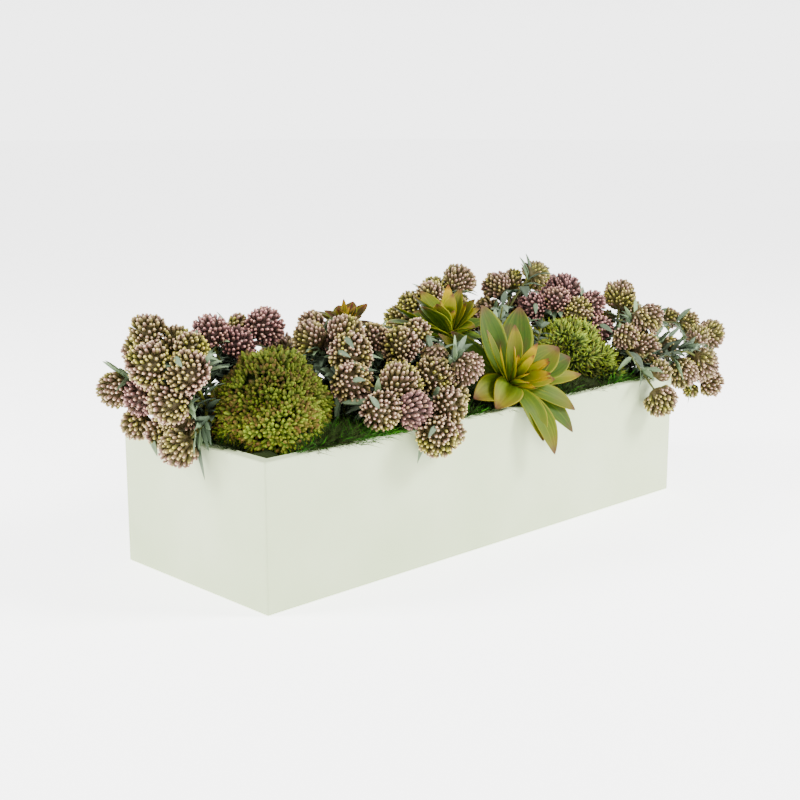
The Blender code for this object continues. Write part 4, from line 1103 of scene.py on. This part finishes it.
# Tufts stand on each dome at golden-angle places, lower where crossed sines or a slump take some off, and
# a tuft's leaves lean out in a spiral whose lean grows with the square root of their number.
def makeCushion(name, look, draw):
    domes = np.array(cushionPlan[name] + look["extra"], float)
    feet, normals = [], []
    for number, dome in enumerate(domes):
        count = int(4 * math.pi * dome[3] ** 2 / (0.866 * look["spacing"] ** 2))
        ball = goldenBall(count, draw.uniform(0, 6))
        out = unit(ball + draw.normal(0, 0.22 * look["spacing"] / dome[3], (count, 3)))
        lump = np.sin(out @ (2.7, 1.9, 3.1) + number) * np.sin(out @ (-3.3, 2.9, 1.2) + 2 * number)
        deep = look["length"] * 0.75 + draw.normal(0, look["uneven"], count) - look["lump"] * lump
        for way, depth in look["slumps"]:
            deep += depth * np.clip(out @ way, 0, 1) ** 3
        place = dome[:3] + out * (dome[3] - deep)[:, None]
        keep = place[:, 2] > planterPlan["height"] - 4
        for other, wall in enumerate(domes):
            if other != number:
                keep &= np.linalg.norm(place - wall[:3], axis=1) > wall[3] - look["length"] * 1.1
        feet.append(place[keep])
        normals.append(out[keep])
    feet, normals = np.concatenate(feet), np.concatenate(normals)
    tufts, leaves = len(feet), look["leaves"]
    across, lift = frameAlong(normals, anyUp(normals))
    step = np.arange(leaves)
    lean = np.radians(look["lean"]) * np.sqrt(step / leaves) * draw.uniform(0.8, 1.2, (tufts, leaves))
    turn = goldenTurn(step) + draw.uniform(0, 6, (tufts, 1))
    out = (
        normals[:, None] * np.cos(lean)[..., None]
        + across[:, None] * (np.sin(lean) * np.cos(turn))[..., None]
        + lift[:, None] * (np.sin(lean) * np.sin(turn))[..., None]
    ).reshape(-1, 3)
    length = look["length"] * draw.uniform(0.8, 1.15, (tufts * leaves, 1))
    base = np.repeat(feet, leaves, axis=0)
    tip = base + out * length
    bent = base + out * length * 0.5 - np.repeat(normals, leaves, axis=0) * length * 0.12
    side, top = (way[:, None] * np.ones((1, len(look["shares"]), 1)) for way in frameAlong(out, anyUp(out)))
    half = np.array(look["swell"])[None] * look["width"] / 2 * draw.uniform(0.8, 1.2, (tufts * leaves, 1))
    x, y, z = feet.T
    patch = np.sin(x * 0.11 + 1.3 * np.sin(y * 0.09)) * np.sin(z * 0.1 + y * 0.07)
    flankBlushAndLight = np.clip(normals @ look["flankBlushAndLight"], 0, 1)[:, None]
    blush = np.clip(0.44 + 0.3 * patch[:, None] + 0.35 * flankBlushAndLight + draw.normal(0, 0.28, (tufts, leaves)), 0, 1)
    # Shade is painted light by height and side, on top of tone that differs at random: the lowest tufts are
    # lifted or darkened and one flank is lit.
    low = look["lowLight"] * np.clip((178 - feet[:, 2:]) / 35, 0, 1)
    shade = 0.46 + low + 0.3 * flankBlushAndLight + draw.normal(0, look["patchy"], (tufts, 1))
    shade = np.clip(shade + draw.normal(0, 0.2, (tufts, leaves)), 0, 2)
    shapes = [sweepShapes(
        bendCurve(base, bent, tip, look["shares"]), side, top, half[:, :, None, None] * circleOf(look["sides"]),
        np.stack([base, tip], axis=1), along=(0, *look["shares"], 1),
        blush=blush.reshape(-1, 1), shade=shade.reshape(-1, 1),
    )]
    for dome in domes:
        radius = dome[3] - look["length"] * 0.8
        core = roundCore(dome[:3], (0.0, 0.0, 1.0), radius, along=0.0, blush=0.0, shade=0.2)
        core["points"][:, 2] = np.maximum(core["points"][:, 2], planterPlan["foamTop"] + 2)
        shapes.append(core)
    return joinShapes(shapes)


# Moulded soft plastic shoots, dipped once more at the tips: matt and close to waxy, with red-brown ends
# where the tuft's blush is high, and paler leaves where its shade is high; that shade is painted light by
# height and side on top of tone that differs at random. The mottle is 2 mm wide.
def makeStonecropMaterial(name, stops, tipColour, tipFrom):
    material, places, along, blush, shade = startMaterial(
        name, ("along", "blush", "shade"), Roughness=0.6, Specular_IOR_Level=0.08,
    )
    colour = addNode(material, "ValToRGB", {0: along}, stops)
    tip = addNode(material, "MapRange", {0: along, 1: tipFrom, 2: 1.0})
    red = addNode(material, "MapRange", {0: blush, 1: 0.35, 2: 0.85})
    share = addNode(material, "Math", {0: tip, 1: red}, operation="MULTIPLY")
    colour = addNode(material, "Mix", {0: share, 6: colour, 7: tipColour}, output=2, data_type="RGBA")
    colour = lighten(material, colour, shade, (0.0, 2.0), (0.52, 2.1))
    mottle = addNode(material, "TexNoise", {"Vector": places, "Scale": 1 / (2 * mm), "Detail": 2.0})
    return finishMaterial(material, lighten(material, colour, mottle, (0.3, 0.7), (0.85, 1.15)))


stonecropLeft = makeStonecropMaterial("yellow green fleshy stonecrop", [
    (0.0, "#283211"), (0.3, "#354518"), (0.6, "#425018"), (0.88, "#546119"), (1.0, "#6C7219"),
], "#4C2E1C", 0.5)
stonecropRight = makeStonecropMaterial("fresh green needle stonecrop", [
    (0.0, "#233010"), (0.3, "#384A1C"), (0.65, "#576B2E"), (1.0, "#A8BE22"),
], "#4A2F1C", 0.4)
for number, (name, look) in enumerate(cushionLook.items()):
    shape = makeCushion(name, look, np.random.default_rng(500 + number))
    addPiece(name + "_shoots", shape, (stonecropLeft, stonecropRight)[number], "stonecrop", name)
print("cushions:", sum(triangleCount.values()), "triangles")


# Rosettes: fleshy leaves on a short stalk.
rosetteLook = {
    "rings": 16, "sides": 14,
    "above": 0.7, "below": 1.5,  # how thick a leaf is over and under its fold
    "fold": 0.16,
    "heartLeaves": 8, "heartWidth": 14.0, "heartBow": 3.0,
    "skirtLeaves": 26, "skirtWidth": 17.0, "skirtBow": 4.0,
}


# A leaf follows its bowed middle line. Across it, x = cosine and y = fold * |x|^1.4 of the width plus a
# lens whose lower half is the thicker. The width rises with a sine and closes to a soft point.
def rosetteLeaf(rosette, leaf, seed):
    crown, tip = np.array(rosette["crown"], float), np.array(leaf[:3], float)
    control, bow = leafControl(rosette, leaf)
    shares = 0.03 + 0.955 * np.sin(np.linspace(0, 1, rosetteLook["rings"]) * math.pi / 2) ** 1.15
    path = bendCurve(crown, control, tip, shares)[None]
    ahead = unit(np.gradient(path, axis=1))
    face = bow if np.any(bow) else np.array((1.0, 0.0, 0.0))
    across, lift = frameAlong(ahead, face + 0 * ahead)
    fall = np.clip(1 - (np.clip(shares - 0.6, 0, 0.4) / 0.4) ** 1.7, 0, 1) ** 0.85
    half = (leafRise(shares) * fall * leaf[3] / 2 * rosette["wide"] * (1 - 0.42 * leaf[5]))[:, None]
    x, y = circleOf(rosetteLook["sides"]).T
    thin = np.clip(1.15 - shares * 0.5, 0.3, 1)[:, None] * np.clip(half / 6, 0.25, 1)
    lens = np.where(y > 0, rosetteLook["above"], rosetteLook["below"])[None] * y[None] * thin
    fold = rosetteLook["fold"] * half * 2 * np.abs(x[None]) ** 1.4 * (1 - 0.35 * shares[:, None])
    # Light, painted light, brightens the whole leaf by its rosette's factor, a little less in the heart.
    shape = sweepShapes(
        path, across, lift, np.stack([half * x, fold + lens], axis=-1)[None], np.stack([crown, tip])[None],
        along=np.concatenate([[0], shares, [1]])[None], heart=leaf[5], seed=seed,
        ruddy=rosette["ruddy"], light=rosette["light"] * (1 - 0.3 * leaf[5]),
    )
    shape["marks"]["edge"] = np.concatenate([[0], np.tile(x, len(shares)), [0]])
    return shape


# Small leaves of the heart: they turn by the golden angle about its way and lean out with the root of
# their number.
def heartLeaves(rosette):
    way = unit(np.array(rosette["way"], float))
    across, lift = frameAlong(way, anyUp(way))
    step = np.arange(rosetteLook["heartLeaves"])
    lean = np.radians(6 + 12 * np.sqrt(step))[:, None]
    turn = goldenTurn(step)[:, None]
    out = way * np.cos(lean) + (across * np.cos(turn) + lift * np.sin(turn)) * np.sin(lean)
    tips = np.array(rosette["crown"]) + out * rosette["reach"] * (1.05 - 0.05 * step[:, None])
    return [(*tip, rosetteLook["heartWidth"], rosetteLook["heartBow"], rosette["heartShare"]) for tip in tips]


# Lower leaves all round the stalk on the side that the arrangement turns away: they turn by the golden
# angle about the axis and stand at up to 50 degrees from square to it.
def skirtLeaves(rosette):
    axis = unit(np.array(rosette["axis"], float))
    across, lift = frameAlong(axis, anyUp(axis))
    step = np.arange(rosetteLook["skirtLeaves"])
    slope = np.radians(-15 + 65 * step / len(step))[:, None]
    turn = (goldenTurn(step) + 1)[:, None]
    out = (across * np.cos(turn) + lift * np.sin(turn)) * np.cos(slope) + axis * np.sin(slope)
    tips = np.array(rosette["crown"]) + out * rosette["skirt"] * (1 + 0.25 * np.sin(5 * step))[:, None]
    away = (out @ showSide < 0.1) & (tips[:, 2] > planterPlan["height"] + 12)
    return [(*tip, rosetteLook["skirtWidth"], rosetteLook["skirtBow"], 0.0) for tip in tips[away]]


# Thick leaves of moulded soft plastic under brushed paint: a soft sheen, streaks that run along the leaf
# where the brush went, pale margins, red ends and rust patches. A streak is a seventh of half a leaf wide,
# and the patches are 9 in 200 mm.
def makeRosetteMaterial():
    material, places, along, edge, heart, seed, ruddy, light = startMaterial(
        "fleshy painted rosette leaf", ("along", "edge", "heart", "seed", "ruddy", "light"),
        Roughness=0.5, Specular_IOR_Level=0.06,
    )
    rim = addNode(material, "Math", {0: edge}, operation="ABSOLUTE")
    streaks = addNode(material, "CombineXYZ", {0: edge, 1: along, 2: seed})
    stretched = addNode(material, "Mapping", {"Vector": streaks, "Scale": (7.0, 1.6, 40.0)})
    streak = addNode(material, "TexNoise", {"Vector": stretched, "Scale": 1.0, "Detail": 3.0})
    colour = addNode(material, "ValToRGB", {0: along}, [
        (0.0, "#596605"), (0.2, "#44560F"), (0.5, "#354911"), (0.8, "#354513"), (1.0, "#40361D"),
    ])
    colour = blendOver(material, colour, "#213910", streak, (0.46, 0.66), (0.0, 0.65))
    colour = blendOver(material, colour, "#546407", streak, (0.46, 0.3), (0.0, 0.6))
    blotch = addNode(material, "TexNoise", {"Vector": places, "Scale": 9 / (200 * mm), "Detail": 2.0})
    colour = blendOver(material, colour, "#422D1A", blotch, (0.56, 0.72), (0.0, 0.5))
    warm = addNode(material, "ValToRGB", {0: along}, [
        (0.0, "#4F6518"), (0.35, "#61770C"), (0.65, "#909100"), (0.88, "#BB9600"), (1.0, "#782E3A"),
    ])
    colour = addNode(material, "Mix", {0: heart, 6: colour, 7: warm}, output=2, data_type="RGBA")
    redder = addNode(material, "ValToRGB", {0: along}, [
        (0.0, "#313A17"), (0.5, "#312115"), (0.85, "#411916"), (1.0, "#663314"),
    ])
    ruddyShare = addNode(material, "Math", {0: ruddy, 1: streak}, operation="MULTIPLY")
    colour = blendOver(material, colour, redder, ruddyShare, (0.3, 0.6))
    margin = addNode(material, "Mix", {0: heart, 6: "#6B6C10", 7: "#AA7C00"}, output=2, data_type="RGBA")
    colour = blendOver(material, colour, margin, rim, (0.82, 1.0), (0.0, 0.75))
    end = addNode(material, "MapRange", {0: along, 1: 0.88, 2: 1.0, 3: 0.0, 4: 0.9})
    tipShare = addNode(material, "Math", {0: end, 1: streak}, operation="MULTIPLY")
    tipShare = addNode(material, "Math", {0: tipShare, 1: 1.7}, operation="MULTIPLY", use_clamp=True)
    colour = addNode(material, "Mix", {0: tipShare, 6: colour, 7: "#4A2B20"}, output=2, data_type="RGBA")
    # Light multiplies the colour's value: painted light over each rosette, and painted shade on its stalk.
    colour = addNode(material, "HueSaturation", {"Value": light, "Color": colour})
    return finishMaterial(material, colour, streak, 0.25, 1.2 * mm)


rosetteSkin = makeRosetteMaterial()
for number, (name, rosette) in enumerate(rosettePlan.items()):
    draw = np.random.default_rng(700 + number)
    crown, axis = np.array(rosette["crown"], float), unit(np.array(rosette["axis"], float))
    foot = np.array((*rosette["root"], planterPlan["foamTop"] + 1), float)
    knee = np.array((*rosette["root"], headPlan["stemStraight"]), float)
    stalk = bendCurve(foot, knee, crown + axis * 4, np.linspace(0, 1, 9))[None]
    # The stalk and crown take a light of 0.7: painted shade.
    plain = {"heart": 0.0, "seed": 0.3, "ruddy": 0.0, "light": 0.7}
    shapes = [
        growStems(stalk, np.linspace(3.3, 4.6, 9)[None], along=0.7, **plain),
        roundCore(crown, axis, 7.0, along=0.5, **plain),
    ]
    for leaf in rosette["leaves"] + heartLeaves(rosette) + skirtLeaves(rosette):
        shapes.append(rosetteLeaf(rosette, leaf, draw.uniform(0, 1)))
    addPiece(name + "_leaves", joinShapes(shapes), rosetteSkin, "rosette_leaf", name)
print("rosettes:", sum(triangleCount.values()), "triangles")


# Sheet moss: a lumpy bed that swells up from the rim, and loose strands all over it.
mossLook = {
    "top": 130.0,
    "lump": 12.0,
    "rise": 16.0,
    "columns": 147,
    "rows": 50,
    "gap": 0.4,  # between the moss and the planter's walls
    "strands": 10600,
    "length": (8.0, 17.0),
    "thick": 0.8,  # coarser than real moss, so that it shows
    "rimShare": 0.35,
    "tuftShare": 0.2,  # strands of the livelier moss at the left front, and where they stand
    "tuftMiddle": (-200.0, 34.0),
    "tuftSpan": (-262.0, -120.0),
    "tuftDepth": 60.0,
    "bareCorner": (-262.0, -60.0),
    "edge": 14.0,  # how far in from the rim the strands start to lean out
}


# Height of the bed: its level + lumps from crossed sines + a rise of (1 - y^2)(1 - x^4) to the middle.
def mossHeight(x, y):
    reachX, reachY = filledBlock[:2] - planterPlan["wall"]
    lumps = np.sin(x * 0.071 + 1.7 * np.sin(y * 0.043)) * np.sin(y * 0.083 + 1.3 * np.sin(x * 0.031))
    lumps += 0.45 * np.sin(x * 0.19 + y * 0.11) * np.sin(y * 0.21 - x * 0.07)
    rise = (1 - (y / reachY) ** 2) * (1 - (x / reachX) ** 4)
    return mossLook["top"] + mossLook["lump"] * (0.5 + 0.4 * lumps) + mossLook["rise"] * np.clip(rise, 0, 1)


# The bed: a grid of heights over a flat one, closed by a skirt around both.
def mossBed(reachX, reachY):
    columns, rows = mossLook["columns"], mossLook["rows"]
    x, y = np.meshgrid(np.linspace(-reachX, reachX, columns), np.linspace(-reachY, reachY, rows))
    top = np.stack([x, y, mossHeight(x, y)], axis=-1)
    low = top.copy()
    low[..., 2] = planterPlan["foamTop"] + mossLook["gap"]
    points = np.concatenate([top.reshape(-1, 3), low.reshape(-1, 3)])
    index = np.arange(columns * rows).reshape(rows, columns)
    under = index + columns * rows
    upper = np.stack([index[:-1, :-1], index[:-1, 1:], index[1:, 1:], index[1:, :-1]], axis=-1).reshape(-1, 4)
    lower = np.stack([under[:-1, :-1], under[1:, :-1], under[1:, 1:], under[:-1, 1:]], axis=-1).reshape(-1, 4)
    loop = np.concatenate([index[0, :-1], index[:-1, -1], index[-1, :0:-1], index[:0:-1, 0]])
    after = np.roll(loop, -1)
    skirt = np.stack([loop, loop + columns * rows, after + columns * rows, after], axis=-1)
    # The bed's along of 0.25 darkens it under the strands: painted shade.
    return {
        "points": points,
        "tris": np.zeros((0, 3), int),
        "quads": np.concatenate([upper, lower, skirt]),
        "marks": {"along": np.full(len(points), 0.25), "shade": np.full(len(points), 0.4)},
    }


# Strands stand anywhere, or near the rim, or in the tuft. Each leans out past the rim when it is near it,
# curls a little at random, and is held above the planter's wall.
def makeMoss(draw):
    reachX, reachY = filledBlock[:2] - planterPlan["wall"] - mossLook["gap"]
    rimHeight = planterPlan["height"]
    count = mossLook["strands"]
    rim = draw.uniform(0, 1, count) < mossLook["rimShare"]
    x = draw.uniform(-reachX, reachX, count)
    y = draw.uniform(-reachY, reachY, count)
    side = draw.integers(0, 4, count)
    tuft = draw.uniform(0, 1, count) < mossLook["tuftShare"]
    x = np.where(tuft, draw.normal(*mossLook["tuftMiddle"], count).clip(*mossLook["tuftSpan"]), x)
    y = np.where(tuft, -reachY + draw.exponential(16.0, count).clip(0, mossLook["tuftDepth"]), y)
    rim &= ~tuft
    nearEdge = draw.exponential(5.0, count)
    y = np.where(rim & (side <= 1), -reachY + nearEdge, y)
    y = np.where(rim & (side == 2), reachY - nearEdge, y)
    x = np.where(rim & (side == 3), np.where(draw.uniform(0, 1, count) < 0.5, -1, 1) * (reachX - nearEdge), x)
    base = np.stack([x, y, mossHeight(x, y) - 1.0], axis=1)
    turn = draw.uniform(0, math.tau, count)
    out = np.stack([np.cos(turn), np.sin(turn), draw.uniform(0.1, 1.3, count)], axis=1)
    edgeX = np.clip((np.abs(x) - reachX + mossLook["edge"]) / mossLook["edge"], 0, 1) * np.sign(x)
    edgeY = np.clip((np.abs(y) - reachY + mossLook["edge"]) / mossLook["edge"], 0, 1) * np.sign(y)
    out[:, 0] += edgeX * 1.2
    out[:, 1] += edgeY * 1.2
    out = unit(out)
    length = draw.uniform(*mossLook["length"], count) * (1 + 0.4 * (np.abs(edgeX) + np.abs(edgeY)) + 0.5 * tuft)
    curl = unit(np.stack([draw.normal(*spread, count) for spread in ((0, 1), (0, 1), (-0.3, 0.5))], axis=1))
    tip = base + out * length[:, None] + curl * (length * 0.25)[:, None]
    over = (np.abs(tip[:, 0]) > reachX) | (np.abs(tip[:, 1]) > reachY)
    tip[:, 2] = np.where(over, np.clip(tip[:, 2], rimHeight - 3, None), tip[:, 2])
    control = base + out * (length * 0.6)[:, None]
    control[:, 2] = np.where(over, np.clip(control[:, 2], rimHeight + 2, None), control[:, 2])
    inWall = over & (tip[:, 2] < rimHeight + 0.6) & (np.abs(tip[:, :2]) < filledBlock[:2] + 0.5).all(axis=1)
    tip[:, 2] = np.where(inWall, rimHeight + 0.8, tip[:, 2])
    clear = (x > mossLook["bareCorner"][0]) | (y > mossLook["bareCorner"][1])
    base, control, tip = base[clear], control[clear], tip[clear]
    ahead = unit(tip - base)[:, None] * np.ones((1, 2, 1))
    across, lift = frameAlong(ahead, anyUp(ahead[:, :1]) + 0 * ahead)
    outline = np.array([0.5, 0.42])[None, :, None, None] * mossLook["thick"] * circleOf(3)
    outline = outline * draw.uniform(0.7, 1.3, (len(base), 1, 1, 1))
    shade = 0.42 + 0.3 * np.sin(base[:, 0] * 0.05) * np.sin(base[:, 1] * 0.08) + 0.25 * tuft[clear]
    shade = np.clip(shade + draw.normal(0, 0.22, len(base)), 0, 1)
    strands = sweepShapes(
        bendCurve(base, control, tip, (0.02, 0.55)), across, lift, outline, np.stack([base, tip], axis=1),
        along=(0, 0.1, 0.6, 1.0), shade=shade[:, None],
    )
    return joinShapes([mossBed(reachX, reachY), strands])


# Sheet moss, gathered, dried and dyed green: no sheen at all, bright where the dye took and brown in
# patches of 25 mm, and darker towards the foot of each strand and on the bed under them, which is painted
# shade between the strands. The tangle has 21 threads in 50 mm, which is coarser than real moss, so that it
# shows.
def makeMossMaterial():
    material, places, along, shade = startMaterial(
        "dried sheet moss", ("along", "shade"), Roughness=0.9, Specular_IOR_Level=0.1,
    )
    colour = addNode(material, "ValToRGB", {0: shade}, [
        (0.0, "#1A240C"), (0.4, "#293513"), (0.65, "#2E4818"), (0.85, "#286018"), (1.0, "#3A7D12"),
    ])
    # Along darkens the strands towards their foot and the bed under them: painted shade.
    colour = lighten(material, colour, along, (0.0, 0.8), (0.35, 1.15))
    tangle = addNode(material, "TexNoise", {"Vector": places, "Scale": 21 / (50 * mm), "Detail": 4.0})
    patches = addNode(material, "TexNoise", {"Vector": places, "Scale": 1 / (25 * mm), "Detail": 2.0})
    colour = blendOver(material, colour, "#333118", patches, (0.5, 0.7), (0.0, 0.55))
    colour = lighten(material, colour, tangle, (0.3, 0.7), (0.6, 1.3))
    return finishMaterial(material, colour, tangle, 0.8, 2 * mm)


addPiece("moss_strands", makeMoss(np.random.default_rng(900)), makeMossMaterial(), "moss", "moss_bed")
print("moss:", sum(triangleCount.values()), "triangles")


# The planter and the foam keep their solids.
# Matt emulsion, sprayed on a cast ceramic box: no gloss, clouds of 9 in a metre where the coat is thicker,
# and an orange-peel grain of 9 in 10 mm.
def makePaintMaterial():
    material, places = startMaterial("matt sage white paint", Roughness=0.62)
    cloud = addNode(material, "TexNoise", {"Vector": places, "Scale": 9.0, "Detail": 3.0})
    colour = addNode(material, "ValToRGB", {0: cloud}, [(0.3, "#AAB98E"), (0.55, "#B1BE96"), (0.75, "#B8C4A0")])
    grain = addNode(material, "TexNoise", {"Vector": places, "Scale": 9 / (10 * mm), "Detail": 3.0})
    return finishMaterial(material, colour, grain, 0.12, 0.3 * mm)


# Phenolic foam, blown and sawn to a block: dull green, with open cells. They are drawn at 6 in 10 mm,
# coarser than real ones, so that they show.
def makeFoamMaterial():
    material, places = startMaterial("open cell floral foam", Roughness=0.95)
    cells = addNode(material, "TexVoronoi", {"Vector": places, "Scale": 6 / (10 * mm)})
    colour = addNode(material, "ValToRGB", {0: cells}, [(0.0, "#1A2D18"), (0.7, "#2F4224")])
    return finishMaterial(material, colour, cells, 0.5, 0.6 * mm)


for name, material in (("planter", makePaintMaterial()), ("foam_bed", makeFoamMaterial())):
    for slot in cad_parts[name].material_slots:
        slot.material = material
print("planter and foam: finished")


# Studio: a pale floor, a soft key light from the upper right and a white surround.
studioLook = {
    "camera": (-0.98966, -0.9786, 0.4186),
    "look": (0.6843, 0.7015, -0.1992),
    "lens": 59.25,
    "sensor": 36.0,
    "farthest": 200.0,
    "aim": (0.0, 0.0, 0.15),  # where the lights point
    "floorLevel": -0.0003,
    "lights": [  # place, size in metres and power in watts
        ((1.2, -1.5, 1.5), 0.7, 122.0),
        ((-1.7, 0.9, 1.3), 0.7, 84.0),
    ],
    "floorSize": 60.0,
    "floorGlow": 2.8,
    "overhead": 0.8,
    "surround": 4.2,
}


# A floor that glows a little, a surround that is brighter near the horizon than overhead, two softboxes
# that face the object, and the camera.
def makeStudio():
    scene = bpy.context.scene
    size = studioLook["floorSize"]
    corners = [(x * size, y * size, studioLook["floorLevel"]) for x, y in ((-1, -1), (1, -1), (1, 1), (-1, 1))]
    floorMesh = bpy.data.meshes.new("floor")
    floorMesh.from_pydata(corners, [], [(0, 1, 2, 3)])
    floor = bpy.data.objects.new("floor", floorMesh)
    scene.collection.objects.link(floor)
    white = linearColour("#FFFFFF")
    material = startMaterial(
        "plain pale floor", Roughness=0.9, Base_Color=white,
        Emission_Color=white, Emission_Strength=studioLook["floorGlow"],
    )[0]
    floorMesh.materials.append(material)
    world = bpy.data.worlds.new("studio")
    world.use_nodes = True
    height = addNode(world, "SeparateXYZ", {0: addNode(world, "TexCoord", output="Generated")}, output=2)
    surround, overhead = studioLook["surround"], studioLook["overhead"]
    strength = addNode(world, "MapRange", {0: height, 1: 0.08, 2: 0.45, 3: surround, 4: overhead})
    background = world.node_tree.nodes["Background"]
    background.inputs[0].default_value = white
    world.node_tree.links.new(strength, background.inputs[1])
    scene.world = world
    for number, (place, size, power) in enumerate(studioLook["lights"]):
        name = f"softbox {number + 1}"
        light = bpy.data.objects.new(name, bpy.data.lights.new(name, "AREA"))
        light.data.size = size
        light.data.energy = power
        light.location = place
        way = Vector(studioLook["aim"]) - light.location
        light.rotation_euler = way.to_track_quat("-Z", "Y").to_euler()
        scene.collection.objects.link(light)
    camera = bpy.data.objects.new("camera", bpy.data.cameras.new("camera"))
    camera.data.lens = studioLook["lens"]
    camera.data.sensor_width = studioLook["sensor"]
    camera.data.clip_end = studioLook["farthest"]
    camera.location = studioLook["camera"]
    camera.rotation_euler = Vector(studioLook["look"]).to_track_quat("-Z", "Y").to_euler()
    scene.collection.objects.link(camera)
    scene.camera = camera


makeStudio()
print("total:", sum(triangleCount.values()), "triangles, most in one piece:", max(triangleCount.values()))
